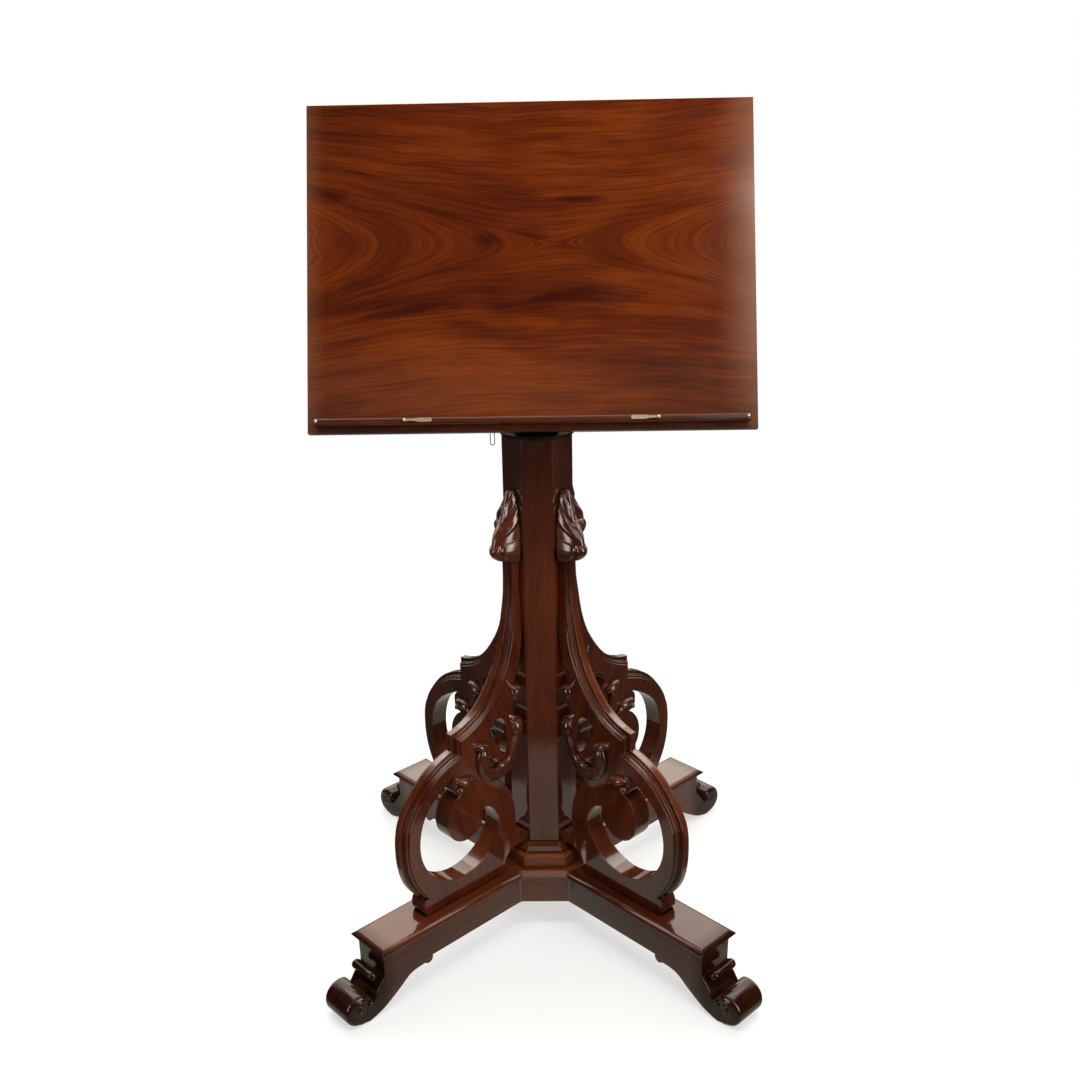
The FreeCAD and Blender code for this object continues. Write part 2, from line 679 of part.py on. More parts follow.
def make_spindle():
    """Spindle under the swivel plate, with a thinner end through plate and block."""
    shaft = cylinder("spindle_shaft", "Sizes.spindle_width / 2", "Sizes.spindle_length",
                     Vector(0, 0, PLATE_FOOT - size("spindle_length") - size("glue_line")))
    stub = cylinder("spindle_end", "Sizes.spindle_stub / 2",
                    "Sizes.plate_thickness + Sizes.spindle_stub_length + Sizes.glue_line",
                    Vector(0, 0, PLATE_FOOT - size("glue_line")))
    return fuse("swivel_spindle", [shaft, stub])


def stub_hole():
    """Tool for the hole of the spindle's thinner end."""
    return cylinder("stub_hole", "Sizes.spindle_stub / 2 + Sizes.bore_gap",
                    "Sizes.plate_thickness + Sizes.spindle_stub_length + Sizes.bore_gap + 1",
                    Vector(0, 0, PLATE_FOOT - 1))


def rod_hole(label, gap):
    """Tool for a hole of the hinge rod, right through block and bearers."""
    return cylinder(label, "Sizes.rod_width / 2 + %f" % gap, "%f" % (2 * BEARER_OUTER + 20),
                    PIVOT - Vector(BEARER_OUTER + 10, 0, 0), Vector(1, 0, 0))


def make_block():
    """Pivot block: flat foot, sides that rise to a rounded top about the hinge."""
    body = new_body("block_blank")
    half, radius = size("block_depth") / 2, size("block_top_radius")
    foot = PLATE_TOP + size("glue_line")
    outline = Outline((half, foot)).line((half, foot + 10), (radius, PIVOT.z))
    outline.arc((0, PIVOT.z + radius), (-radius, PIVOT.z)).line((-half, foot + 10), (-half, foot)).close()
    add_pad(body, "YZ_Plane", [outline], "Sizes.block_width", both_ways=True)
    return body


def make_quadrant():
    """Toothed quadrant about the hinge, on the left side of the block."""
    body = new_body("quadrant_blank")
    first, last, teeth = size("nose_bearing") - 74, size("nose_bearing") + 10, 14
    crest = size("quadrant_radius")
    root = crest - size("quadrant_tooth")
    pitch = (last - first) / teeth
    centre = (0, PIVOT.z)
    outline = Outline(polar(18, first - 6, centre)).line(polar(root, first - 2, centre))
    for tooth in range(teeth):
        start = first + tooth * pitch
        outline.line(polar(root, start, centre), polar(crest, start + 0.35 * pitch, centre),
                     polar(crest, start + 0.5 * pitch, centre))
    outline.line(polar(root, last, centre), polar(18, last + 6, centre))
    outline.arc(polar(18, first - 6 - 90, centre), polar(18, first - 6, centre))
    inner = size("block_width") / 2 + size("glue_line")
    add_pad(body, "YZ_Plane", [outline], "Sizes.quadrant_thickness", -inner, reverse=True)
    return body


def nut_shape(side):
    """Round nut with a domed face on one end of the hinge rod."""
    start = PIVOT + Vector(side * (BEARER_OUTER + size("running_gap")), 0, 0)
    radius, height = size("nut_width") / 2, size("nut_height")
    body = Part.makeCylinder(radius, height, start, Vector(side, 0, 0))
    far = [edge for edge in body.Edges if abs(edge.CenterOfMass.x - start.x) > height - 0.01]
    body = body.makeFillet(0.6 * min(height, radius), far)
    bore = Part.makeCylinder(size("rod_width") / 2 + size("bore_gap"), 0.6 * height, start, Vector(side, 0, 0))
    return body.cut(bore)


# ---------------------------------------------------------------------------------------------
# Board
# ---------------------------------------------------------------------------------------------

def bearer_outline():
    """Side view of a bearer in the board's frame: depth along x, height up the board along y."""
    back = size("board_thickness") + size("glue_line")
    ear = (PIVOT_ON_BOARD.y, PIVOT_ON_BOARD.z)
    radius = size("ear_radius")
    outline = Outline((back, size("bearer_start"))).line((back + 24, size("bearer_start")))
    outline.line(polar(radius, -75, ear)).arc(polar(radius, 0, ear), polar(radius, 70, ear))
    outline.curve((back + size("bearer_depth") + 14, ear[1] + radius + 18),
                  (back + size("bearer_depth"), ear[1] + 2 * radius + 50))
    outline.line((back + size("bearer_tip"), size("bearer_end")), (back, size("bearer_end")))
    return outline.close()


def make_bearer(side_name):
    """Bearer with its ear for the hinge rod."""
    side = SIDES[side_name]
    body = new_body("bearer_blank_" + side_name)
    body.Placement = BOARD
    start = BEARER_INNER if side > 0 else -BEARER_OUTER
    add_pad(body, "YZ_Plane", [bearer_outline()], "Sizes.bearer_thickness", start)
    return body


def bearer_screw_places():
    """Places of the bearer screws on the backs of the bearers, in the board's frame."""
    middle = (BEARER_INNER + BEARER_OUTER) / 2
    low = PIVOT_ON_BOARD.z + 2 * size("ear_radius") + 50
    back = size("board_thickness") + size("glue_line")
    places = []
    for height in (low + 20, (low + size("bearer_end")) / 2, size("bearer_end") - 20):
        share = (height - low) / (size("bearer_end") - low)
        depth = back + size("bearer_depth") + share * (size("bearer_tip") - size("bearer_depth"))
        places += [Vector(side * middle, depth, height) for side in (-1, 1)]
    return places


def make_ledge():
    """Ledge along the foot of the panel, with rounded outer corners."""
    body = new_body("ledge_blank")
    body.Placement = BOARD
    half, depth, corner = size("ledge_length") / 2, size("ledge_depth"), size("ledge_corner")
    left, right = size("board_shift") - half, size("board_shift") + half
    diagonal = corner * (1 - sqrt(0.5))
    outline = Outline((left, -size("glue_line"))).line((left, corner - depth))
    outline.arc((left + diagonal, diagonal - depth), (left + corner, -depth)).line((right - corner, -depth))
    outline.arc((right - diagonal, diagonal - depth), (right, corner - depth))
    outline.line((right, -size("glue_line"))).close()
    add_pad(body, "XY_Plane", [outline], "Sizes.ledge_thickness", size("ledge_rise"))
    return body


def on_ledge_front(across, below_top):
    """A point on the front of the ledge, in the board's frame, measured across from its middle."""
    top = size("ledge_rise") + size("ledge_thickness")
    return Vector(size("board_shift") + across, -size("ledge_depth"), top - below_top)


INTO_BOARD = Vector(0, 1, 0)


def pin_shapes(gap):
    """The two ledge pins: a low round head on a thin shank."""
    shapes = []
    for side in (-1, 1):
        across = size("ledge_length") / 2 - size("pin_inset") - size("ledge_corner") / 2
        place = on_ledge_front(side * across, size("pin_drop"))
        shank = Part.makeCylinder(size("pin_width") / 4 + gap, 10 + gap, place - INTO_BOARD * 0.5, INTO_BOARD)
        if gap:
            shapes.append(shank)
            continue
        head = Part.makeSphere(size("pin_width") / 2, place, Vector(0, -1, 0), 0, 90, 360)
        shapes.append(head.fuse(shank).removeSplitter())
    return [moved(shape, BOARD) for shape in shapes]


def moved(shape, placement):
    """A shape carried from a placement's frame into the stand's frame."""
    result = shape.copy()
    result.Placement = placement.multiply(result.Placement)
    return result


def finger_pivot_place(side):
    """Middle of a page finger's pivot on the ledge front."""
    return on_ledge_front(side * size("finger_place"), size("finger_drop"))


def finger_front():
    """Distance of a page finger's outer face in front of the ledge."""
    return size("running_gap") + size("finger_thickness")


def finger_pin_shapes(gap):
    """Pivots of the page fingers: a shank in the ledge and a ball head in front of the finger."""
    shapes = []
    for side in (-1, 1):
        place = finger_pivot_place(side)
        front = place - INTO_BOARD * (finger_front() + size("running_gap"))
        length = finger_front() + size("running_gap") + 14
        shank = Part.makeCylinder(size("finger_pin") / 2 + gap, length + gap, front - INTO_BOARD, INTO_BOARD)
        if gap:
            shapes.append(shank)
            continue
        radius = size("finger_ball") / 2
        ball = Part.makeSphere(radius, front - INTO_BOARD * (0.6 * radius))
        half_space = Part.makeBox(4 * radius, 4 * radius, 4 * radius, front - Vector(2 * radius, 0, 2 * radius))
        shapes.append(ball.cut(half_space).fuse(shank).removeSplitter())
    return [moved(shape, BOARD) for shape in shapes]


def make_finger(side_name):
    """Page finger: a round eye, a thin neck and a wider blade with a rounded tip, along the ledge."""
    side = SIDES[side_name]
    body = new_body("page_finger_" + side_name)
    body.Placement = BOARD
    pivot = finger_pivot_place(side)
    inward = -side
    eye, half, tip = size("finger_eye") / 2, size("finger_width") / 2, size("finger_tip") / 2
    length = size("finger_length")
    waist = sqrt(eye * eye - half * half)

    def at(along, across):
        return pivot.x + inward * along, pivot.z + across

    outline = Outline(at(waist, half))
    outline.arc(at(-eye, 0), at(waist, -half))
    outline.line(at(0.32 * length, -half), at(0.52 * length, -tip), at(length - tip, -tip))
    outline.arc(at(length, 0), at(length - tip, tip))
    outline.line(at(0.52 * length, tip), at(0.32 * length, half)).close()
    hole = Outline((pivot.x + size("finger_pin") / 2 + size("bore_gap"), pivot.z))
    radius = size("finger_pin") / 2 + size("bore_gap")
    hole.arc((pivot.x, pivot.z + radius), (pivot.x - radius, pivot.z))
    hole.arc((pivot.x, pivot.z - radius), (pivot.x + radius, pivot.z))
    # the XZ plane's normal points to the reader
    add_pad(body, "XZ_Plane", [outline, hole], "Sizes.finger_thickness", size("ledge_depth") + size("running_gap"))
    return body


# ---------------------------------------------------------------------------------------------
# Pawl and wire pull
# ---------------------------------------------------------------------------------------------

def pawl_axis():
    """The pawl spindle's middle in the y-z plane."""
    return polar(size("pawl_place"), size("pawl_bearing"), (0, PIVOT.z))


def pawl_plane():
    """Inner face of the pawl, along -x."""
    return size("block_width") / 2 + size("glue_line") + (size("quadrant_thickness") - size("pawl_thickness")) / 2


def make_pawl():
    """Pawl: a ring round its spindle with a nose that rides on the crests of the teeth."""
    body = new_body("pawl")
    middle, ring, centre = pawl_axis(), size("pawl_ring"), (0, PIVOT.z)
    clear = size("quadrant_radius") + size("running_gap")
    tip = polar(clear + 0.6, size("nose_bearing"), centre)
    heel = polar(clear + 0.8, size("nose_bearing") + 3, centre)
    aim = degrees(atan2(tip[1] - middle[1], tip[0] - middle[0]))
    outline = Outline(polar(ring, aim + 75, middle)).line(tip, heel, polar(ring, aim - 75, middle))
    outline.arc(polar(ring, aim + 180, middle), polar(ring, aim + 75, middle))
    add_pad(body, "YZ_Plane", [outline], "Sizes.pawl_thickness", -pawl_plane(), reverse=True)
    return body


def spindle_tool(label, gap, start, end):
    """The pawl spindle, or a hole for it, between two distances along -x."""
    middle = pawl_axis()
    return cylinder(label, "Sizes.pawl_spindle_width / 2 + %f" % gap, "%f" % (end - start),
                    Vector(-start, middle[0], middle[1]), Vector(-1, 0, 0))


def crank_start():
    """Inner face of the crank, along -x."""
    return BEARER_OUTER + size("crank_stand")


def crank_eye():
    """Middle of the crank's eye in the y-z plane."""
    middle = pawl_axis()
    return middle[0] - size("crank_across"), middle[1] - size("crank_down")


def make_crank():
    """Crank: a small arm from the spindle's outer end to the eye of the wire loop."""
    body = new_body("crank_blank")
    middle, eye = pawl_axis(), crank_eye()
    aim = degrees(atan2(eye[1] - middle[1], eye[0] - middle[0]))
    ring, small = size("pawl_spindle_width") / 2 + 2.2, size("wire_width") / 2 + 1.9
    outline = Outline(polar(ring, aim + 80, middle)).line(polar(small, aim + 80, eye))
    outline.arc(polar(small, aim, eye), polar(small, aim - 80, eye)).line(polar(ring, aim - 80, middle))
    outline.arc(polar(ring, aim + 180, middle), polar(ring, aim + 80, middle))
    add_pad(body, "YZ_Plane", [outline], "Sizes.crank_thickness", -crank_start(), reverse=True)
    return body


def make_spring():
    """Pawl spring: a few turns of wire round the spindle, between bearer and crank."""
    middle = pawl_axis()
    wire = size("spring_wire")
    radius = size("pawl_spindle_width") / 2 + size("running_gap") + wire / 2
    room = size("crank_stand") - 2 * size("running_gap") - wire
    coil = Part.makeHelix(room / size("spring_turns"), room, radius)
    circle = Part.Wire(Part.Circle(Vector(radius, 0, 0), Vector(0, 1, 0), wire / 2).toShape())
    item = doc.addObject("Part::Feature", "Spring")
    item.Label = "pawl_spring"
    item.Shape = Part.Wire(coil).makePipeShell([circle], True, True)
    start = Vector(-BEARER_OUTER - size("running_gap") - wire / 2, middle[0], middle[1])
    item.Placement = Placement(start, Rotation(Vector(0, 0, 1), Vector(-1, 0, 0)))
    return item


def make_loop():
    """Wire loop: a narrow hairpin that hangs from the crank's eye."""
    eye = crank_eye()
    middle = -(crank_start() + size("crank_thickness") / 2)
    half = (size("loop_width") - size("wire_width")) / 2
    drop, bend = size("loop_drop"), 1.6
    corner = bend * (1 - sqrt(0.5))
    y, top = eye
    low = top - drop + half * 0.6

    def at(x, z):
        return Vector(middle + x, y, z)

    edges = [
        Part.LineSegment(at(-half + bend, top), at(half - bend, top)).toShape(),
        Part.Arc(at(half - bend, top), at(half - corner, top - corner), at(half, top - bend)).toShape(),
        Part.LineSegment(at(half, top - bend), at(half, low)).toShape(),
        Part.Arc(at(half, low), at(0, low - half), at(-half, low)).toShape(),
        Part.LineSegment(at(-half, low), at(-half, top - bend)).toShape(),
        Part.Arc(at(-half, top - bend), at(-half + corner, top - corner), at(-half + bend, top)).toShape(),
    ]
    path = Part.Wire(edges)
    circle = Part.Wire(Part.Circle(at(0, top), Vector(1, 0, 0), size("wire_width") / 2).toShape())
    start = Part.Wire([Part.LineSegment(at(0, top), at(half - bend, top)).toShape()] + edges[1:]
                      + [Part.LineSegment(at(-half + bend, top), at(0, top)).toShape()])
    item = doc.addObject("Part::Feature", "Loop")
    item.Label = "wire_loop"
    item.Shape = start.makePipeShell([circle], True, True)
    if abs(item.Shape.Volume / (path.Length * pi * (size("wire_width") / 2) ** 2) - 1) > 0.02:
        raise ValueError("wire_loop: the wire's volume doesn't match its length")
    return item


# ---------------------------------------------------------------------------------------------
# Assembly
# ---------------------------------------------------------------------------------------------

def build_base():
    """Hub, legs, brackets, column, plinth, socket and their screws."""
    hub, hub_tools = make_hub()
    nodes = []
    direction = Vector(0, 0, 1)
    underside = size("leg_underside")
    places = []
    for angle in LEG_ANGLES.values():
        turn = Rotation(Vector(0, 0, 1), angle)
        along = size("leg_joint") - size("tenon_length") / 2
        places += [turn.multVec(Vector(along, across, underside)) for across in (-8, 8)]
    screws, drill = screw_group("hub_screws", places, direction, 38.0)
    nodes.append(screws)
    head = Part.makeCylinder(size("bolt_head") / 2, 7.0, Vector(0, 0, underside + 1.0), direction)
    shank = Part.makeCylinder(size("bolt_shank") / 2, 84.0, Vector(0, 0, underside + 8.0), direction)
    nodes.append(group("column_bolt", [head.fuse(shank).removeSplitter()]))
    gap = size("bore_gap")
    head_hole = Part.makeCylinder(size("bolt_head") / 2 + gap, 8.0 + gap, Vector(0, 0, underside), direction)
    shank_hole = Part.makeCylinder(size("bolt_shank") / 2 + gap, 85.0, Vector(0, 0, underside + 8.0), direction)
    bolt_hole = group("column_bolt_hole", [head_hole.fuse(shank_hole)])
    nodes.append(cut("hub_block", hub, hub_tools + [drill, bolt_hole]))

    for name, angle in LEG_ANGLES.items():
        leg = make_leg(name, angle)
        leg.Label = "leg_blank_" + name
        nodes.append(cut("leg_" + name, leg, [drill]))
        nodes.append(make_bracket(name, angle))

    socket_places = [Vector(*polar(36, angle), size("column_top")) for angle in (45, 135, 225, 315)]
    socket_screws, socket_drill = screw_group("socket_screws", socket_places, Vector(0, 0, -1), 36.0)
    nodes.append(socket_screws)
    socket = make_socket("socket_blank")
    nodes.append(cut("spindle_socket", socket, [socket_drill]))
    nodes.append(cut("column", make_column(), [socket_solid(gap), socket_drill, bolt_hole]))
    nodes.append(make_plinth())
    return nodes


def build_head():
    """Swivel plate, spindle, pivot block, quadrant and hinge rod."""
    nodes = []
    places = [Vector(*polar(30, angle), PLATE_FOOT) for angle in (35, 145, 215, 325)]
    screws, drill = screw_group("swivel_screws", places, Vector(0, 0, 1), 30.0)
    nodes.append(screws)
    plate = cylinder("plate_blank", "Sizes.plate_width / 2", "Sizes.plate_thickness", Vector(0, 0, PLATE_FOOT))
    nodes.append(cut("swivel_plate", plate, [drill, stub_hole()]))
    nodes.append(make_spindle())

    side = size("block_width") / 2 + size("glue_line") + size("quadrant_thickness")
    marks = (size("nose_bearing") - 50, size("nose_bearing") - 12)
    places = [Vector(-side, *polar(29, angle, (0, PIVOT.z))) for angle in marks]
    quadrant_screws, quadrant_drill = screw_group("quadrant_screws", places, Vector(1, 0, 0), 20.0)
    nodes.append(quadrant_screws)
    rod = rod_hole("block_rod_hole", size("bore_gap"))
    nodes.append(cut("pivot_block", make_block(), [drill, stub_hole(), rod, quadrant_drill]))
    nodes.append(cut("ratchet_quadrant", make_quadrant(), [rod_hole("quadrant_rod_hole", size("bore_gap")),
                                                           quadrant_drill]))
    washer = cylinder("washer_blank", "%f" % (size("rod_width") / 2 + 9), "%f" % (size("quadrant_thickness")),
                      PIVOT + Vector(size("block_width") / 2 + size("glue_line"), 0, 0), Vector(1, 0, 0))
    nodes.append(cut("pivot_washer", washer, [rod_hole("washer_rod_hole", size("bore_gap"))]))
    reach = BEARER_OUTER + size("running_gap") + 0.5 * size("nut_height")
    nodes.append(cylinder("hinge_rod", "Sizes.rod_width / 2", "%f" % (2 * reach), PIVOT - Vector(reach, 0, 0),
                          Vector(1, 0, 0)))
    nodes.append(group("hinge_rod_nuts", [nut_shape(side) for side in (-1, 1)]))
    return nodes


def build_board():
    """Panel, bearers, ledge and what is fixed to them."""
    nodes = []
    half = size("board_width") / 2
    panel = box("panel_blank", "Sizes.board_width", "Sizes.board_thickness", "Sizes.board_height",
                Vector(size("board_shift") - half, 0, 0), BOARD)
    toward_front = BOARD.Rotation.multVec(Vector(0, -1, 0))
    bearer_screws, bearer_drill = screw_group("bearer_screws", placed(BOARD, bearer_screw_places()), toward_front,
                                              size("bearer_tip") + 14.0)
    middle = size("ledge_rise") + size("ledge_thickness") / 2
    spots = [Vector(size("board_shift") + share * size("ledge_length"), size("board_thickness"), middle)
             for share in (-0.45, -0.2, 0.0, 0.2, 0.45)]
    ledge_screws, ledge_drill = screw_group("ledge_screws", placed(BOARD, spots), toward_front,
                                            size("board_thickness") + 14.0)
    nodes += [bearer_screws, ledge_screws, cut("board_panel", panel, [bearer_drill, ledge_drill])]
    pins = group("ledge_pins", pin_shapes(0.0))
    pivots = group("finger_pivots", finger_pin_shapes(0.0))
    holes = group("ledge_holes", pin_shapes(size("bore_gap")) + finger_pin_shapes(size("bore_gap")))
    nodes += [pins, pivots, cut("ledge", make_ledge(), [ledge_drill, holes])]
    for name in SIDES:
        tools = [rod_hole("bearer_rod_hole", size("bore_gap")), bearer_drill]
        if name == "left":
            tools.append(spindle_tool("bearer_pawl_hole", size("bore_gap"), BEARER_INNER - 1, BEARER_OUTER + 1))
        nodes.append(cut("bearer_" + name, make_bearer(name), tools))
    return nodes


def build_pawl():
    """Pawl, spindle, crank and wire loop."""
    end = crank_start() + size("crank_thickness")
    shaft = spindle_tool("pawl_spindle", 0.0, pawl_plane(), end)
    far_face = pawl_plane() + size("pawl_thickness")
    pawl_hole = spindle_tool("pawl_hole", size("bore_gap"), pawl_plane() - 1, far_face + 1)
    pawl = make_pawl()
    pawl.Label = "pawl_blank"
    eye = crank_eye()
    crank_hole = spindle_tool("crank_hole", size("bore_gap"), crank_start() - 1, end + 1)
    eye_hole = cylinder("crank_eye_hole", "Sizes.wire_width / 2 + Sizes.running_gap", "Sizes.crank_thickness + 2",
                        Vector(-crank_start() + 1, eye[0], eye[1]), Vector(-1, 0, 0))
    return [shaft, cut("pawl", pawl, [pawl_hole]), cut("pawl_crank", make_crank(), [crank_hole, eye_hole]),
            make_spring(), make_loop()]


nodes = build_base() + build_head() + build_board() + build_pawl()
nodes += [make_finger("left"), make_finger("right")]
doc.recompute()

faults = [item.Label for item in doc.Objects if {"Invalid", "Error"} & set(item.State)]
if faults:
    raise RuntimeError("failed objects: " + ", ".join(faults))
for node in nodes:
    if node.Shape.isNull() or not node.Shape.isValid() or not node.Shape.Solids:
        raise RuntimeError(node.Label + ": its shape is empty or broken")

os.makedirs("parts", exist_ok=True)
for node in nodes:
    node.Shape.exportStep("parts/%s.step" % node.Label)
    print("%-22s %3d solid(s) %12.0f mm3" % (node.Label, len(node.Shape.Solids), node.Shape.Volume))
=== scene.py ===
# %% [markdown]
# An atlas stand
#
# This lesson dresses a finished construction model of a Victorian atlas stand: a wide
# sloping board on an eight-sided column, held up by four fretted scroll brackets on
# four legs with scrolled toes.  The joinery is loaded as a fixed frame, and nothing in
# it is moved.  The lesson adds what a joiner's drawing leaves out: the light, the
# polish, the figure of the timber, and the carver's work.

import bmesh
import bpy
import numpy as np
from mathutils import Matrix, Vector


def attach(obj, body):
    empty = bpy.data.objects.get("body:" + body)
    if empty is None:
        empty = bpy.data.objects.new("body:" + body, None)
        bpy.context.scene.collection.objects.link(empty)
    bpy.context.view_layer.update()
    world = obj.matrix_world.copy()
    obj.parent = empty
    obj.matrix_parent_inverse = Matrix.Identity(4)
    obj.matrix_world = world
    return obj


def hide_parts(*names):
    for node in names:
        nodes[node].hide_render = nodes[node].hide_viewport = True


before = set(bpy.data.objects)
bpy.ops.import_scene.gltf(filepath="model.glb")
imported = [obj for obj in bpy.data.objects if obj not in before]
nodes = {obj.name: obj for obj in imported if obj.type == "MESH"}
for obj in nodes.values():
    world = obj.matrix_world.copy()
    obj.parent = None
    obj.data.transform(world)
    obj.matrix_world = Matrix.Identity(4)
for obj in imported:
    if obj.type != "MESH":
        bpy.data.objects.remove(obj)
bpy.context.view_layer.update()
print("nodes loaded:", len(nodes))

# %% [markdown]
# The camera
#
# The stand is seen from head height, a little to the right of its middle, looking
# down by about twenty degrees.  A camera in Blender looks along its own minus Z, so
# its turning matrix has the picture's right, the picture's up and the direction away
# from the scene as columns.  The three directions are worked out from the pitch, the
# yaw and a small roll, which is clearer than three Euler angles.

# %% Camera
eye = Vector((0.0563, -1.9841, 1.4414))
pitch, yaw, roll = 0.3417, 0.0277, -0.0200
ahead = Vector((-np.sin(yaw) * np.cos(pitch), np.cos(yaw) * np.cos(pitch), -np.sin(pitch)))
level = Vector((np.cos(yaw), np.sin(yaw), 0.0))
upright = level.cross(ahead)
right = level * np.cos(roll) + upright * np.sin(roll)
up = upright * np.cos(roll) - level * np.sin(roll)

lens = bpy.data.cameras.new("view_camera")
lens.sensor_width = 36.0
lens.lens = 40.39
view_camera = bpy.data.objects.new("view_camera", lens)
view_camera.matrix_world = Matrix((
    (right.x, up.x, -ahead.x, eye.x),
    (right.y, up.y, -ahead.y, eye.y),
    (right.z, up.z, -ahead.z, eye.z),
    (0.0, 0.0, 0.0, 1.0),
))
bpy.context.scene.collection.objects.link(view_camera)
bpy.context.scene.camera = view_camera
bpy.context.scene.view_settings.view_transform = "Standard"
print("camera distance to the column:", round((eye.xy.length), 3))

# %% [markdown]
# A small kit for node trees
#
# Every finish below is a tree of shader nodes.  Writing each node and each wire by
# hand hides the idea, so one helper adds a node, sets its inputs and joins whatever
# is passed as a wire.  A value that is a socket becomes a wire; anything else is
# typed into the socket.

# %% Node helpers
def add(tree, kind, inputs=(), **settings):
    """One node: settings are its own options, inputs its sockets by name or number."""
    node = tree.nodes.new(kind)
    for key, value in settings.items():
        setattr(node, key, value)
    for key, value in dict(inputs).items():
        if isinstance(value, bpy.types.NodeSocket):
            tree.links.new(value, node.inputs[key])
        else:
            node.inputs[key].default_value = value
    return node


def maths(tree, operation, first, second=0.0):
    """first (operation) second, as one wire."""
    return add(tree, "ShaderNodeMath", {0: first, 1: second}, operation=operation).outputs[0]


def squared(tree, wire):
    """The wire times itself."""
    return maths(tree, "MULTIPLY", wire, wire)


def ramp(tree, wire, stops):
    """A colour for each level of the wire: stops are (level, colour)."""
    node = add(tree, "ShaderNodeValToRGB", {"Fac": wire})
    band = node.color_ramp
    while len(band.elements) < len(stops):
        band.elements.new(0.5)
    for element, (level_at, colour) in zip(band.elements, stops):
        element.position = level_at
        element.color = (*colour, 1.0) if len(colour) == 3 else colour
    return node.outputs["Color"]


def blend_colour(tree, amount, first, second):
    """first towards second by amount."""
    node = add(tree, "ShaderNodeMix", data_type="RGBA")
    for socket, value in ((node.inputs[0], amount), (node.inputs[6], first), (node.inputs[7], second)):
        if isinstance(value, bpy.types.NodeSocket):
            tree.links.new(value, socket)
        else:
            socket.default_value = value
    return node.outputs[2]


def new_material(name):
    """An empty material and its tree with a Principled shader joined to the output."""
    material = bpy.data.materials.new(name)
    material.use_nodes = True
    tree = material.node_tree
    tree.nodes.clear()
    skin = add(tree, "ShaderNodeBsdfPrincipled")
    output = add(tree, "ShaderNodeOutputMaterial")
    tree.links.new(skin.outputs[0], output.inputs["Surface"])
    return material, tree, skin

# %% [markdown]
# Mahogany under French polish
#
# Old mahogany is red-brown with darker, redder streaks, and its open pores show as
# short dark dashes along the grain.  On this stand it lies under many thin coats of
# shellac, which are clear, very smooth and slightly uneven, so the wood is one layer
# and the polish is a coat above it.  A picture of a veneer would be the quick way,
# but it can't turn with each piece.  A few noise patterns, stretched along a
# direction that each piece chooses, give every rail, leg and plank its own run of
# grain.

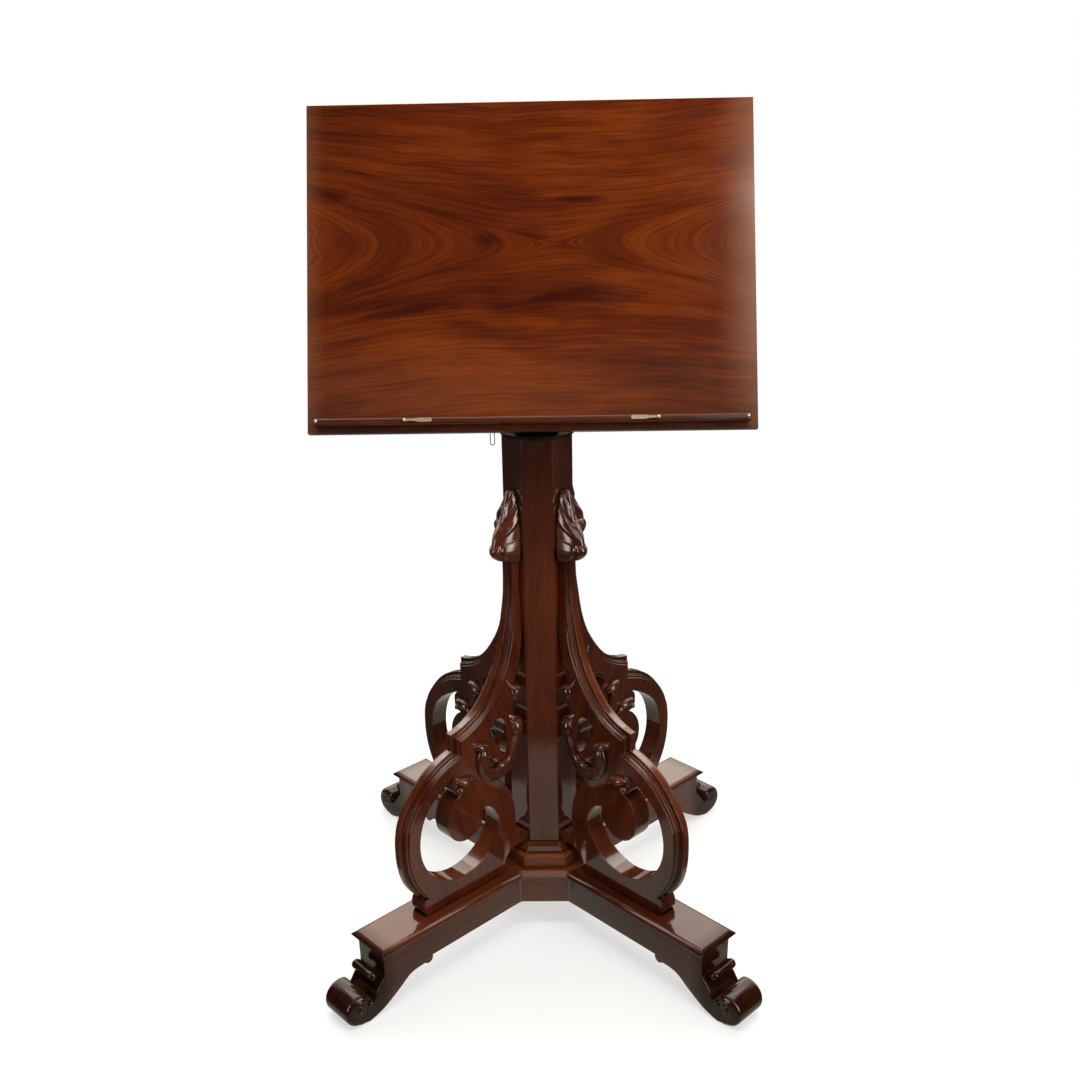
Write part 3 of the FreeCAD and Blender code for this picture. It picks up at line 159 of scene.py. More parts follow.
# %% Mahogany
def mahogany(name, along=(0.0, 0.0, 1.0), seed=0.0, tone=1.0, red=1.0, figure=1.0, gloss=0.09,
             coat=0.95, shade=None, arris_radius=0.0024):
    """Polished mahogany whose grain runs along a direction.

    The point is turned so that its X runs along the grain, then three noises are
    read: a wide one for the figure, a long thin one for the streaks and a very long,
    very thin one for the pores.  shade = (kind, start, end, least) darkens the wood from
    start to end of its "height" or of its "reach" from the upright axis.
    """
    material, tree, skin = new_material(name)
    turn = Vector(along).normalized().rotation_difference(Vector((1.0, 0.0, 0.0))).to_euler()
    place = add(tree, "ShaderNodeTexCoord").outputs["Object"]
    turned = add(tree, "ShaderNodeMapping", {"Vector": place, "Rotation": turn})
    shifted = add(tree, "ShaderNodeVectorMath", {0: turned.outputs[0], 1: (seed, seed * 0.7, seed * 1.3)})
    point = shifted.outputs[0]

    def noise(scale, stretch, detail=3.0, rough=0.55, warp=0.0):
        squeezed = add(tree, "ShaderNodeMapping", {"Vector": point, "Scale": (1.0 / stretch, 1.0, 1.0)})
        wires = {"Vector": squeezed.outputs[0], "Scale": scale, "Detail": detail,
                 "Roughness": rough, "Distortion": warp}
        return add(tree, "ShaderNodeTexNoise", wires).outputs["Fac"]

    figure_wire = noise(9.0, 5.0, 3.0, 0.55, 0.7)
    streaks = noise(70.0, 14.0, 4.0, 0.6, 0.2)
    pores = noise(900.0, 22.0, 1.0, 0.5)
    mottle = noise(14.0, 0.6, 2.0, 0.5, 0.3)

    level_wire = maths(tree, "ADD", maths(tree, "MULTIPLY", figure_wire, 0.62 * figure),
                       maths(tree, "MULTIPLY", streaks, 0.38))
    level_wire = maths(tree, "ADD", level_wire, 0.31 * (1.0 - figure))
    dark = (0.026 * tone, 0.0050 * tone / red, 0.0020 * tone / red)
    middle = (0.092 * tone, 0.0175 * tone / red, 0.0058 * tone / red)
    light = (0.175 * tone, 0.0385 * tone / red, 0.0115 * tone / red)
    wood = ramp(tree, level_wire, ((0.30, dark), (0.47, middle), (0.68, light)))
    pore_mask = ramp(tree, pores, ((0.30, (1.0, 1.0, 1.0)), (0.42, (0.0, 0.0, 0.0))))
    wood = blend_colour(tree, maths(tree, "MULTIPLY", pore_mask, 0.45), wood, (*dark, 1.0))
    wood = blend_colour(tree, maths(tree, "MULTIPLY", mottle, 0.25), wood, (0.06 * tone, 0.012, 0.005, 1.0))
    # Ambient occlusion darkens the wood towards near black in recesses, creases and between parts: painted
    # shade.
    recess = add(tree, "ShaderNodeAmbientOcclusion", {"Distance": 0.008}, samples=6).outputs["AO"]
    painted_recess_shade = ramp(tree, recess, ((0.30, (0.85,) * 3), (0.80, (0.0,) * 3)))
    wood = blend_colour(tree, painted_recess_shade, wood, (0.006, 0.0020, 0.0012, 1.0))
    if shade:
        kind, start, end, least = shade
        axes = add(tree, "ShaderNodeSeparateXYZ", {0: place})
        flat = add(tree, "ShaderNodeCombineXYZ", {0: axes.outputs["X"], 1: axes.outputs["Y"]})
        reach = add(tree, "ShaderNodeVectorMath", {0: flat.outputs[0]}, operation="LENGTH").outputs["Value"]
        measure = axes.outputs["Z"] if kind == "height" else reach
        dim = add(tree, "ShaderNodeMapRange", {
            "Value": measure, "From Min": start, "From Max": end, "To Min": 1.0, "To Max": least})
        dimmed = maths(tree, "SUBTRACT", 1.0, dim.outputs[0])
        wood = blend_colour(tree, dimmed, wood, (0.004, 0.0012, 0.0008, 1.0))
    tree.links.new(wood, skin.inputs["Base Color"])

    smear = noise(30.0, 2.0, 2.0, 0.6)
    rough = ramp(tree, smear, ((0.35, (gloss * 0.7,) * 3), (0.7, (gloss * 1.8,) * 3)))
    tree.links.new(rough, skin.inputs["Roughness"])
    skin.inputs["Specular IOR Level"].default_value = 0.2
    skin.inputs["Coat Weight"].default_value = coat
    if shade and shade[0] == "reach":
        tree.links.new(maths(tree, "MULTIPLY", dim.outputs[0], coat), skin.inputs["Coat Weight"])
    skin.inputs["Coat Roughness"].default_value = gloss * 0.9
    skin.inputs["Coat IOR"].default_value = 1.5
    ripple = maths(tree, "ADD", maths(tree, "MULTIPLY", noise(26.0, 2.5, 2.0), 0.7),
                   maths(tree, "MULTIPLY", streaks, 0.10))
    arris = add(tree, "ShaderNodeBevel", {"Radius": arris_radius}, samples=4)
    bump = add(tree, "ShaderNodeBump", {
        "Height": ripple, "Strength": 0.10, "Distance": 0.004, "Normal": arris.outputs[0]})
    tree.links.new(bump.outputs[0], skin.inputs["Normal"])
    tree.links.new(bump.outputs[0], skin.inputs["Coat Normal"])
    return material

# %% [markdown]
# The figured board
#
# The board is flat-sawn: the saw has cut through the growth rings at a low angle, so
# they show as long streaks above and below, and as nested arches at both sides that
# point at each other across the middle.  One could draw the rings and cut them, but a
# saddle-shaped function has the same level lines.  Every noise below is read in the
# coordinates of that saddle, so bands, streaks and pores bend round the arches
# together.  A few long ovals of darker heartwood lie on top, and the paler edges and
# foot are a painted glare of the lamps on the polish.

# %% Board
def board_timber(name):
    """Flat-sawn mahogany: every noise is read in the coordinates of the grain.

    Across the grain the place is the root of v squared - (0.27 u) squared, positive above
    the middle and negative below it and at the sides.  Its level lines are long streaks
    above and below, and two families of arches that point at each other across a saddle.
    """
    material, tree, skin = new_material(name)
    place = add(tree, "ShaderNodeTexCoord").outputs["Object"]
    board_lean = np.arctan2(0.36488, 0.93106)
    lean = add(tree, "ShaderNodeMapping", {"Vector": place, "Rotation": (board_lean, 0.0, 0.0)})
    waver = add(tree, "ShaderNodeTexNoise", {
        "Vector": lean.outputs[0], "Scale": 4.2, "Detail": 2.0, "Roughness": 0.45})
    sway = maths(tree, "MULTIPLY", maths(tree, "SUBTRACT", waver.outputs["Fac"], 0.5), 0.034)
    axes = add(tree, "ShaderNodeSeparateXYZ", {0: lean.outputs[0]})
    along = axes.outputs["X"]
    upward = maths(tree, "ADD", axes.outputs["Z"], sway)

    def spot(middle_x, middle_z, half_length, half_height):
        """1 in the middle of a long oval and 0 outside it."""
        right = maths(tree, "DIVIDE", maths(tree, "SUBTRACT", along, middle_x), half_length)
        rise = maths(tree, "DIVIDE", maths(tree, "SUBTRACT", upward, middle_z), half_height)
        reach = maths(tree, "ADD", squared(tree, right), squared(tree, rise))
        return maths(tree, "MAXIMUM", maths(tree, "SUBTRACT", 1.0, reach), 0.0)

    over = maths(tree, "SUBTRACT", upward, 1.160)
    aside = maths(tree, "MULTIPLY", maths(tree, "SUBTRACT", along, 0.030), 0.27)
    saddle = maths(tree, "SUBTRACT", squared(tree, over), squared(tree, aside))
    root = maths(tree, "SQRT", maths(tree, "ABSOLUTE", saddle))
    above = maths(tree, "MULTIPLY", maths(tree, "GREATER_THAN", saddle, 0.0),
                  maths(tree, "GREATER_THAN", over, 0.0))
    sign = maths(tree, "SUBTRACT", maths(tree, "MULTIPLY", above, 2.0), 1.0)
    across = maths(tree, "MULTIPLY", root, sign)
    across = maths(tree, "ADD", across, maths(tree, "MULTIPLY", spot(-0.335, 1.166, 0.040, 0.022), 0.007))
    point = add(tree, "ShaderNodeCombineXYZ", {0: along, 1: axes.outputs["Y"], 2: across}).outputs[0]

    def noise(scale, stretch, detail=3.0, rough=0.55, warp=0.0, shift=0.0):
        squeezed = add(tree, "ShaderNodeMapping", {
            "Vector": point, "Scale": (1.0 / stretch, 1.0, 1.0), "Location": (shift, shift, shift)})
        wires = {"Vector": squeezed.outputs[0], "Scale": scale, "Detail": detail,
                 "Roughness": rough, "Distortion": warp}
        return add(tree, "ShaderNodeTexNoise", wires).outputs["Fac"]

    bands = noise(46.0, 11.0, 3.0, 0.6, 0.1, 4.2)
    streaks = noise(250.0, 30.0, 3.0, 0.7, 0.1)
    clouds = noise(7.0, 2.4, 3.0, 0.6, 0.3, 3.1)
    pores = noise(900.0, 22.0, 1.0, 0.5)
    level_wire = maths(tree, "MULTIPLY", bands, 0.30)
    for wire, share in ((streaks, 0.32), (clouds, 0.38), (along, 0.05)):
        level_wire = maths(tree, "ADD", level_wire, maths(tree, "MULTIPLY", wire, share))
    dark = (0.042, 0.0046, 0.0008)
    middle = (0.108, 0.0152, 0.0012)
    light = (0.200, 0.0365, 0.0032)
    wood = ramp(tree, level_wire, ((0.39, dark), (0.50, middle), (0.63, light)))
    heart = maths(tree, "MAXIMUM", spot(0.035, 1.078, 0.150, 0.026), spot(0.065, 1.232, 0.060, 0.008))
    for place_x, place_z, half_long, half_high, depth in (
            (-0.21, 1.055, 0.14, 0.022, 0.9), (-0.02, 1.060, 0.09, 0.014, 0.9),
            (-0.075, 1.168, 0.028, 0.016, 0.9), (-0.01, 1.176, 0.040, 0.018, 0.7),
            (-0.330, 1.245, 0.035, 0.016, 0.9), (-0.26, 1.085, 0.06, 0.030, 0.6),
            (0.33, 0.955, 0.06, 0.010, 0.8), (-0.11, 1.028, 0.05, 0.010, 0.8)):
        extra = spot(place_x, place_z, half_long, half_high)
        heart = maths(tree, "MAXIMUM", heart, maths(tree, "MULTIPLY", extra, depth))
    torn = ramp(tree, noise(60.0, 10.0, 3.0, 0.6, 0.2, 1.7), ((0.40, (0.25,) * 3), (0.58, (1.0,) * 3)))
    wood = blend_colour(tree, maths(tree, "MULTIPLY", heart, maths(tree, "MULTIPLY", torn, 0.95)),
                        wood, (0.034, 0.0022, 0.0014, 1.0))
    pore_mask = ramp(tree, pores, ((0.30, (1.0, 1.0, 1.0)), (0.42, (0.0, 0.0, 0.0))))
    wood = blend_colour(tree, maths(tree, "MULTIPLY", pore_mask, 0.30), wood, (0.05, 0.008, 0.002, 1.0))
    # The right and left edges and the foot are blended towards a pale tan: a painted glare of the lamps on
    # the polish.
    at_right = add(tree, "ShaderNodeMapRange", {
        "Value": along, "From Min": 0.290, "From Max": 0.356, "To Min": 0.0, "To Max": 1.0})
    at_left = add(tree, "ShaderNodeMapRange", {
        "Value": along, "From Min": -0.340, "From Max": -0.367, "To Min": 0.0, "To Max": 1.0})
    at_foot = add(tree, "ShaderNodeMapRange", {
        "Value": upward, "From Min": 1.03, "From Max": 0.92, "To Min": 0.0, "To Max": 0.07})
    mid_edge = maths(tree, "ADD", maths(tree, "MULTIPLY", spot(0.36, 1.17, 9.0, 0.30), 0.34), 0.16)
    right_edge = maths(tree, "MULTIPLY", maths(tree, "POWER", at_right.outputs[0], 1.6), mid_edge)
    left_edge = maths(tree, "MULTIPLY", at_left.outputs[0], 0.13)
    painted_edge_glare = maths(tree, "ADD", maths(tree, "ADD", right_edge, left_edge), at_foot.outputs[0])
    wood = blend_colour(tree, painted_edge_glare, wood, (0.36, 0.195, 0.120, 1.0))
    tree.links.new(wood, skin.inputs["Base Color"])

    smear = add(tree, "ShaderNodeTexNoise", {"Vector": place, "Scale": 16.0, "Detail": 3.0}).outputs["Fac"]
    rough = ramp(tree, smear, ((0.35, (0.10,) * 3), (0.7, (0.19,) * 3)))
    tree.links.new(rough, skin.inputs["Roughness"])
    skin.inputs["Coat Weight"].default_value = 0.6
    skin.inputs["Coat Roughness"].default_value = 0.11
    skin.inputs["Coat IOR"].default_value = 1.5
    ripple = add(tree, "ShaderNodeTexNoise", {"Vector": place, "Scale": 11.0, "Detail": 1.0}).outputs["Fac"]
    bump = add(tree, "ShaderNodeBump", {"Height": ripple, "Strength": 0.06, "Distance": 0.004})
    tree.links.new(bump.outputs[0], skin.inputs["Normal"])
    tree.links.new(bump.outputs[0], skin.inputs["Coat Normal"])
    return material


def metal(name, colour, tarnish, rough_low, rough_high, scale=60.0, metallic=1.0):
    """A worn metal: a noise mixes the bright colour with its tarnish and roughens it."""
    material, tree, skin = new_material(name)
    place = add(tree, "ShaderNodeTexCoord").outputs["Object"]
    stain = add(tree, "ShaderNodeTexNoise", {
        "Vector": place, "Scale": scale, "Detail": 4.0, "Roughness": 0.6}).outputs["Fac"]
    scratch = add(tree, "ShaderNodeTexNoise", {
        "Vector": place, "Scale": scale * 14.0, "Detail": 2.0, "Roughness": 0.6}).outputs["Fac"]
    mask = ramp(tree, stain, ((0.40, (0.0, 0.0, 0.0)), (0.66, (1.0, 1.0, 1.0))))
    tint = blend_colour(tree, mask, (*colour, 1.0), (*tarnish, 1.0))
    tree.links.new(tint, skin.inputs["Base Color"])
    rough = ramp(tree, stain, ((0.35, (rough_low,) * 3), (0.7, (rough_high,) * 3)))
    tree.links.new(rough, skin.inputs["Roughness"])
    skin.inputs["Metallic"].default_value = metallic
    skin.inputs["Specular IOR Level"].default_value = 0.5 * metallic
    bump = add(tree, "ShaderNodeBump", {"Height": scratch, "Strength": 0.15, "Distance": 0.0004})
    tree.links.new(bump.outputs[0], skin.inputs["Normal"])
    return material


brass = metal("old_brass", (0.80, 0.66, 0.40), (0.62, 0.46, 0.25), 0.22, 0.42, metallic=0.6)
black_iron = metal(
    "black_painted_iron", (0.010, 0.009, 0.009), (0.006, 0.005, 0.005), 0.55, 0.75, 35.0, 0.1)
iron = metal("blackened_iron", (0.034, 0.031, 0.029), (0.020, 0.015, 0.012), 0.34, 0.60, 35.0)

diagonal = 0.5 ** 0.5
sides = {
    "front_left": (-diagonal, -diagonal, 0.0),
    "front_right": (diagonal, -diagonal, 0.0),
    "back_left": (-diagonal, diagonal, 0.0),
    "back_right": (diagonal, diagonal, 0.0),
}
slope = (0.0, 0.36488, 0.93106)
finishes = {
    "board_panel": board_timber("board_mahogany"),
    "ledge": mahogany("ledge_mahogany", (1.0, 0.0, 0.0), 2.1, 0.80, coat=0.35, gloss=0.26,
                      arris_radius=0.0008),
    "bearer_left": mahogany("bearer_left_mahogany", slope, 3.3, 0.8),
    "bearer_right": mahogany("bearer_right_mahogany", slope, 4.4, 0.8),
    # The hub is lighter and less red than the other timber: a painted reflection of the pale floor on its
    # front.
    "hub_block": mahogany("hub_mahogany", (1.0, 0.0, 0.0), 5.2, 1.45, red=0.85),
    # The column darkens towards its head: painted shadow of the board above it.
    "column": mahogany("column_mahogany", (0.0, 0.0, 1.0), 6.4, 1.05,
                       shade=("height", 0.66, 0.86, 0.5), arris_radius=0.0002),
    "column_plinth": mahogany("plinth_mahogany", (1.0, 0.0, 0.0), 7.7, 2.0, red=0.70, coat=0.3,
                              shade=("height", 0.147, 0.153, 0.45)),
    "pivot_block": mahogany("pivot_mahogany", (1.0, 0.0, 0.0), 8.8, 0.8),
    "swivel_plate": black_iron,
    "wire_loop": metal("steel_wire", (0.22, 0.20, 0.18), (0.12, 0.09, 0.07), 0.40, 0.60, metallic=0.5),
}
for count, (side, outward) in enumerate(sides.items()):
    # The back brackets and their carving get a darker tone than the front ones: painted shade.
    tone_with_back_shade, leg_coat = (0.90, 0.50) if side.startswith("front") else (0.78, 0.66)
    steep = (outward[0] * 0.25, outward[1] * 0.25, 1.0)
    finishes["leg_" + side] = mahogany(
        "leg_mahogany_" + side, outward, 10.0 + count * 1.9, 0.72, coat=leg_coat,
        shade=("reach", 0.385, 0.420, 0.24))
    finishes["bracket_" + side] = mahogany(
        "bracket_mahogany_" + side, steep, 20.0 + count * 2.3, tone_with_back_shade, coat=0.66, arris_radius=0.0030)
    finishes["carving_" + side] = mahogany(
        "carved_mahogany_" + side, (0.0, 0.0, 1.0), 30.0 + count * 2.3, tone_with_back_shade * 0.9,
        gloss=0.18, coat=0.60, arris_radius=0.0008)


def dress(node_name, material):
    """Gives a node of the frame its finish, in every slot that it has."""
    mesh = nodes[node_name].data
    if not mesh.materials:
        mesh.materials.append(material)
    for number in range(len(mesh.materials)):
        mesh.materials[number] = material


for node_name, node in nodes.items():
    first = node.data.materials[0].name if node.data.materials else ""
    if node_name in finishes:
        dress(node_name, finishes[node_name])
    elif first.startswith("brass"):
        dress(node_name, brass)
    else:
        dress(node_name, iron)
print("finishes made:", len(finishes) + 2)

# %% [markdown]
# Surfaces from whole arrays
#
# A carved leaf or a rolled toe is easiest to describe as a sheet of points with two
# directions, such as round the section and up the height.  Numpy works out the sheet
# in one go, and only the list of faces has to be joined up.  Where the sheet closes on
# itself the last row is joined to the first, and an open end is closed with one face.

# %% Mesh helpers
def sheet_object(name, points, wrap_rows=False, wrap_columns=True, caps=True):
    """An object from points[row, column]: four-sided faces, wrapped or capped at the ends."""
    rows, columns = points.shape[:2]
    row, column = np.meshgrid(np.arange(rows if wrap_rows else rows - 1),
                              np.arange(columns if wrap_columns else columns - 1), indexing="ij")
    next_row, next_column = (row + 1) % rows, (column + 1) % columns
    faces = np.stack([row * columns + column, row * columns + next_column,
                      next_row * columns + next_column, next_row * columns + column], -1).reshape(-1, 4)
    loops = faces.tolist()
    if caps and not wrap_rows:
        loops.append(list(range(columns))[::-1])
        loops.append(list(range((rows - 1) * columns, rows * columns)))
    mesh = bpy.data.meshes.new(name)
    mesh.from_pydata(points.reshape(-1, 3).tolist(), [], loops)
    return mesh_object(name, mesh)


def mesh_object(name, mesh, crease_angle=40.0):
    """Links a mesh as an object at the origin, with its faces outward and softly shaded."""
    sculpt = bmesh.new()
    sculpt.from_mesh(mesh)
    bmesh.ops.recalc_face_normals(sculpt, faces=sculpt.faces)
    sculpt.to_mesh(mesh)
    sculpt.free()
    mesh.shade_smooth()
    mesh.set_sharp_from_angle(angle=np.radians(crease_angle))
    piece = bpy.data.objects.new(name, mesh)
    bpy.context.scene.collection.objects.link(piece)
    return piece


def join_meshes(name, pieces, crease_angle=40.0):
    """One object out of several, each still a closed shell of its own."""
    sculpt = bmesh.new()
    for piece in pieces:
        sculpt.from_mesh(piece.data)
        bpy.data.objects.remove(piece)
    mesh = bpy.data.meshes.new(name)
    sculpt.to_mesh(mesh)
    sculpt.free()
    return mesh_object(name, mesh, crease_angle)


def smooth_path(knots, count):
    """count points on a smooth curve through the knots.

    Between two knots the curve is the cubic whose slopes at both ends are half of the
    step from the knot before to the knot after (Catmull and Rom's rule).
    """
    knots = np.asarray(knots, float)
    ends = np.vstack([2 * knots[0] - knots[1], knots, 2 * knots[-1] - knots[-2]])
    place = np.linspace(0.0, len(knots) - 1.0, count)
    at = np.minimum(place.astype(int), len(knots) - 2)
    share = (place - at)[:, None]
    before, first, second, after = ends[at], ends[at + 1], ends[at + 2], ends[at + 3]
    return 0.5 * (2 * first + (second - before) * share
                  + (2 * before - 5 * first + 4 * second - after) * share ** 2
                  + (3 * first - before - 3 * second + after) * share ** 3)


def leg_frame(side):
    """The directions of one leg: outward along it, across it and up."""
    outward = np.array(sides[side])
    up_way = np.array((0.0, 0.0, 1.0))
    return outward, np.cross(up_way, outward), up_way


def in_leg_frame(side, radius, across, height):
    """World points, in metres, from millimetres along, across and above a leg."""
    outward, sideways, up_way = leg_frame(side)
    radius, across, height = (part[..., None] for part in np.broadcast_arrays(radius, across, height))
    return (radius * outward + across * sideways + height * up_way) / 1000.0

# %% [markdown]
# The acanthus finial
#
# At the head of each bracket the carver cut a drooping acanthus leaf.  Its body is a
# half oval that swells near the foot and thins to the tip.  On it lie lobes: a raised
# midrib in front and, on both sides, leaflets that sweep back and upward, with sharp
# valleys between them.  A sculpted mesh would do it too, but the leaf is a simple
# function of height and of the angle round it, so the lobes are a wave whose phase
# runs along the sweep.

# %% Leaf finials
column_face = 60.6
finial_foot, finial_rise = 719.0 - 0.6, 122.2
finial_reach, finial_half = 46.0, 19.0
leaf_height = np.array((0.0, 0.02, 0.05, 0.09, 0.14, 0.20, 0.27, 0.36, 0.42,
                        0.48, 0.53, 0.58, 0.63, 0.70, 0.80, 0.90, 0.96, 1.0))
leaf_reach = np.array((0.42, 0.60, 0.76, 0.89, 0.98, 1.03, 1.00, 0.91, 0.82,
                       0.70, 0.59, 0.52, 0.47, 0.43, 0.36, 0.31, 0.28, 0.20))
leaf_width = np.array((0.78, 0.84, 0.90, 0.95, 0.99, 1.00, 0.99, 0.96, 0.93,
                       0.89, 0.85, 0.80, 0.75, 0.69, 0.60, 0.48, 0.38, 0.26))


def acanthus(side):
    """A leaf finial: half-oval sections with lobes standing on them.

    round_it is the angle from one flank over the front to the other; flank is 0 on the
    midrib and 1 at the column.  Leaflet number = 3.5 (height - 0.24 - 0.34 flank), and a
    leaflet stands out by the root of the sine of its share, so valleys are narrow and
    sharp.  Below them the foot of the leaf rolls over in a nose and two side lobes.
    """
    height, round_it = np.meshgrid(np.linspace(0.0, 1.0, 180), np.linspace(0.0, np.pi, 141), indexing="ij")
    reach = finial_reach * np.interp(height, leaf_height, leaf_reach)
    half = finial_half * np.interp(height, leaf_height, leaf_width)
    flank = np.abs(round_it - np.pi / 2) / (np.pi / 2)
    number = 3.5 * (height - 0.24 - 0.34 * flank ** 1.3)
    leaflet = np.where(number > 0.0, np.abs(np.sin(np.pi * number)) ** 0.6, 0.0)
    leaflet = leaflet * np.clip(2.2 * flank, 0.10, 1.0)
    edge = np.where(number > 0.0, np.abs(np.sin(np.pi * (2.0 * number + 0.5))), 0.0) * leaflet
    low = 1.0 - ((height - 0.12) / (0.125 + 0.10 * flank)) ** 2
    roll = np.sqrt(np.clip(low, 0.0, 1.0)) * (1.0 - 0.95 * np.exp(-((flank - 0.40) / 0.07) ** 2))
    rib = np.exp(-(flank / 0.15) ** 2) * np.clip(height * 5.0 - 1.0, 0.0, 1.0)
    body = np.interp(height, (0.0, 0.25, 0.6, 0.9, 1.0), (1.0, 1.0, 0.8, 0.65, 0.2))
    stand = 0.4 + body * (5.0 * leaflet - 0.9 * edge + 4.6 * roll + 2.8 * rib)
    fade = np.clip((1.0 - flank) / 0.10, 0.0, 1.0)
    stand = 0.4 + (stand - 0.4) * fade
    across = half * np.cos(round_it) + stand * np.cos(round_it)
    radius = column_face + reach * np.sin(round_it) + stand * np.sin(round_it)
    points = in_leg_frame(side, radius, across, finial_foot + finial_rise * height)
    return sheet_object("leaf_finial_" + side, points)

# %% [markdown]
# Scrolls on the fretwork
#
# The planks of the brackets are sawn, then carved on both faces: a hooked C-scroll with
# a leaf in its bow, small curls next to the column and a leaf over the volute.  Each
# is a rounded band that follows a path on the face.  Its section is half an oval that
# is sunk a little into the plank, and it narrows towards both ends, as a carver lets a
# scroll die away.

# %% Bands, bosses and spirals
def carved_band(knots, widths, heights, face, groove=0.0, count=64, half_plank=18.0):
    """Points of a band: an oval section carried along a path of (radius, height) knots.

    At each point the section runs across the path by width times the cosine, and out of
    the plank by height times the sine, less a groove along its crest.
    """
    path = smooth_path(knots, count)
    share = np.linspace(0.0, 1.0, count)
    width = np.interp(share, np.linspace(0, 1, len(widths)), widths)[:, None]
    height = np.interp(share, np.linspace(0, 1, len(heights)), heights)[:, None]
    step = np.gradient(path, axis=0)
    step /= np.linalg.norm(step, axis=1, keepdims=True)
    normal = np.stack([-step[:, 1], step[:, 0]], 1)
    turn = np.linspace(0.0, 2.0 * np.pi, 28, endpoint=False)[None, :]
    over = width * np.cos(turn)
    lift = np.abs(np.sin(turn))
    out = np.where(np.sin(turn) > 0, height * lift ** 0.8, -2.0 * lift)
    out = out * (1.0 - groove * np.exp(-(np.cos(turn) / 0.28) ** 2) * (np.sin(turn) > 0))
    radius = path[:, 0:1] + normal[:, 0:1] * over
    level_at = path[:, 1:2] + normal[:, 1:2] * over
    return radius, face * (half_plank + out), level_at


def spiral_knots(centre, start_angle, turns, outer, inner, count):
    """Knots of a spiral: the radius shrinks by the same share for each step of angle."""
    share = np.linspace(0.0, 1.0, count)
    reach = outer * (inner / outer) ** share
    angle = np.radians(start_angle) + 2.0 * np.pi * turns * share
    return np.stack([centre[0] + reach * np.cos(angle), centre[1] + reach * np.sin(angle)], 1)


def boss(centre, size_along, size_across, tilt, height, face, half_plank=18.0):
    """Points of an oval dome on the face, its long side turned by tilt degrees."""
    ring, turn = np.meshgrid(
        np.linspace(0.02, 1.0, 12), np.linspace(0, 2 * np.pi, 28, endpoint=False), indexing="ij")
    lean = np.radians(tilt)
    along, across = size_along * ring * np.cos(turn), size_across * ring * np.sin(turn)
    radius = centre[0] + along * np.cos(lean) - across * np.sin(lean)
    level_at = centre[1] + along * np.sin(lean) + across * np.cos(lean)
    out = height * np.sqrt(np.clip(1.0 - ring ** 2, 0.0, 1.0)) - 1.5 * (ring > 0.99)
    return radius, face * (half_plank + out), level_at


def fretwork_carving(side):
    """All the carving on both faces of one bracket, as one piece: the hook, then the leaves."""
    hook = [(78, 424), (76, 408), (84, 391), (93, 374), (101, 356), (114, 343), (132, 338), (150, 343),
            (163, 356), (168, 372), (166, 388), (160, 400)]
    hook_widths = (4, 8, 8, 9, 11, 13, 13, 12, 11, 11, 10, 7)
    hook_heights = (2, 6, 6, 7, 8, 9, 9, 9, 9, 10, 11, 7)
    curl = [(103, 508), (97, 496), (88, 489), (79, 486)]
    parts = []
    for face in (-1.0, 1.0):
        shapes = [
            carved_band(hook, hook_widths, hook_heights, face, 0.22, 110),
            boss((164, 402), 20, 9.0, 22, 13.0, face),
            boss((121, 352), 17, 7.5, 2, 12.0, face),
            boss((136, 366), 12, 6.0, 28, 10.0, face),
            boss((81, 408), 13, 15.0, 0, 9.0, face),
            boss((82, 477), 11, 15.0, 10, 8.0, face),
            carved_band(curl, (1.5, 4, 5, 3), (1, 5, 8.5, 8), face, 0.0, 40),
            boss((204, 352), 21, 9.0, 10, 12.0, face),
            boss((188, 345), 12, 6.0, 35, 8.0, face),
            boss((219, 341), 8.5, 6.5, -30, 10.0, face),
        ]
        parts += [sheet_object("carving", in_leg_frame(side, *shape)) for shape in shapes]
    return join_meshes("fretwork_carving_" + side, parts)

# %% [markdown]
# Legs with rolled toes
#
# Each leg is a sawn shape with a moulded cap, a hollow throat and a toe that rolls out
# like a scroll.  The joiner's model has square edges; the real toe is rounded over on
# both sides, and a loose roll lies in the throat.  The outline is carried across the
# leg, and near both faces it shrinks by a quarter circle, which rounds the edges over.
# The radius of that quarter circle is large on the toe and small on the straight part.

# %% Legs
leg_half = 35.6
leg_start, leg_end = 103.0, 410.8
cap_foot = 107.0
rail_foot = 57.9
toe_eye = (463.0, 33.5)


def arc_knots(centre, radius, start, stop, count):
    """Points of an arc between two angles in degrees."""
    angle = np.radians(np.linspace(start, stop, count))
    return np.stack([centre[0] + radius * np.cos(angle), centre[1] + radius * np.sin(angle)], 1)


def foot_profile():
    """The leg's outline and the rounding of its edge at each point, anticlockwise."""
    toe, toe_radius = (461.0, 28.5), 28.5
    under = smooth_path([(326.6, 49.5), (355.8, 45.5), (382.8, 28.0), (414.8, 9.4),
                         (440.0, 1.2), (453.0, 0.0)], 26)
    throat = smooth_path([(451.0, 36.5), (444.5, 33.5), (436.0, 36.5), (429.0, 46.0),
                          (421.0, 57.0), (412.5, 66.0), (leg_end, 74.0)], 22)
    runs = [
        (np.array([(leg_start, cap_foot), (leg_start, rail_foot)]), 0.8),
        (np.linspace((120.0, rail_foot), (307.6, rail_foot), 8), 0.8),
        (arc_knots((317.0, 55.0), 9.5, 196, 318, 9), 1.2),
        (under, 2.0),
        (arc_knots(toe, toe_radius, -90, 96, 30), 8.5),
        (arc_knots((458.5, 39.0), 18.0, 110, 196, 12), 6.0),
        (throat, 2.5),
        (np.linspace((leg_end, 80.0), (leg_end, cap_foot), 4), 0.8),
    ]
    outline = np.vstack([run for run, _ in runs])
    rounding = np.concatenate([np.full(len(run), radius) for run, radius in runs])
    kernel = np.ones(5) / 5.0
    padded = np.concatenate([rounding[-2:], rounding, rounding[:2]])
    return outline, np.convolve(padded, kernel, mode="valid")


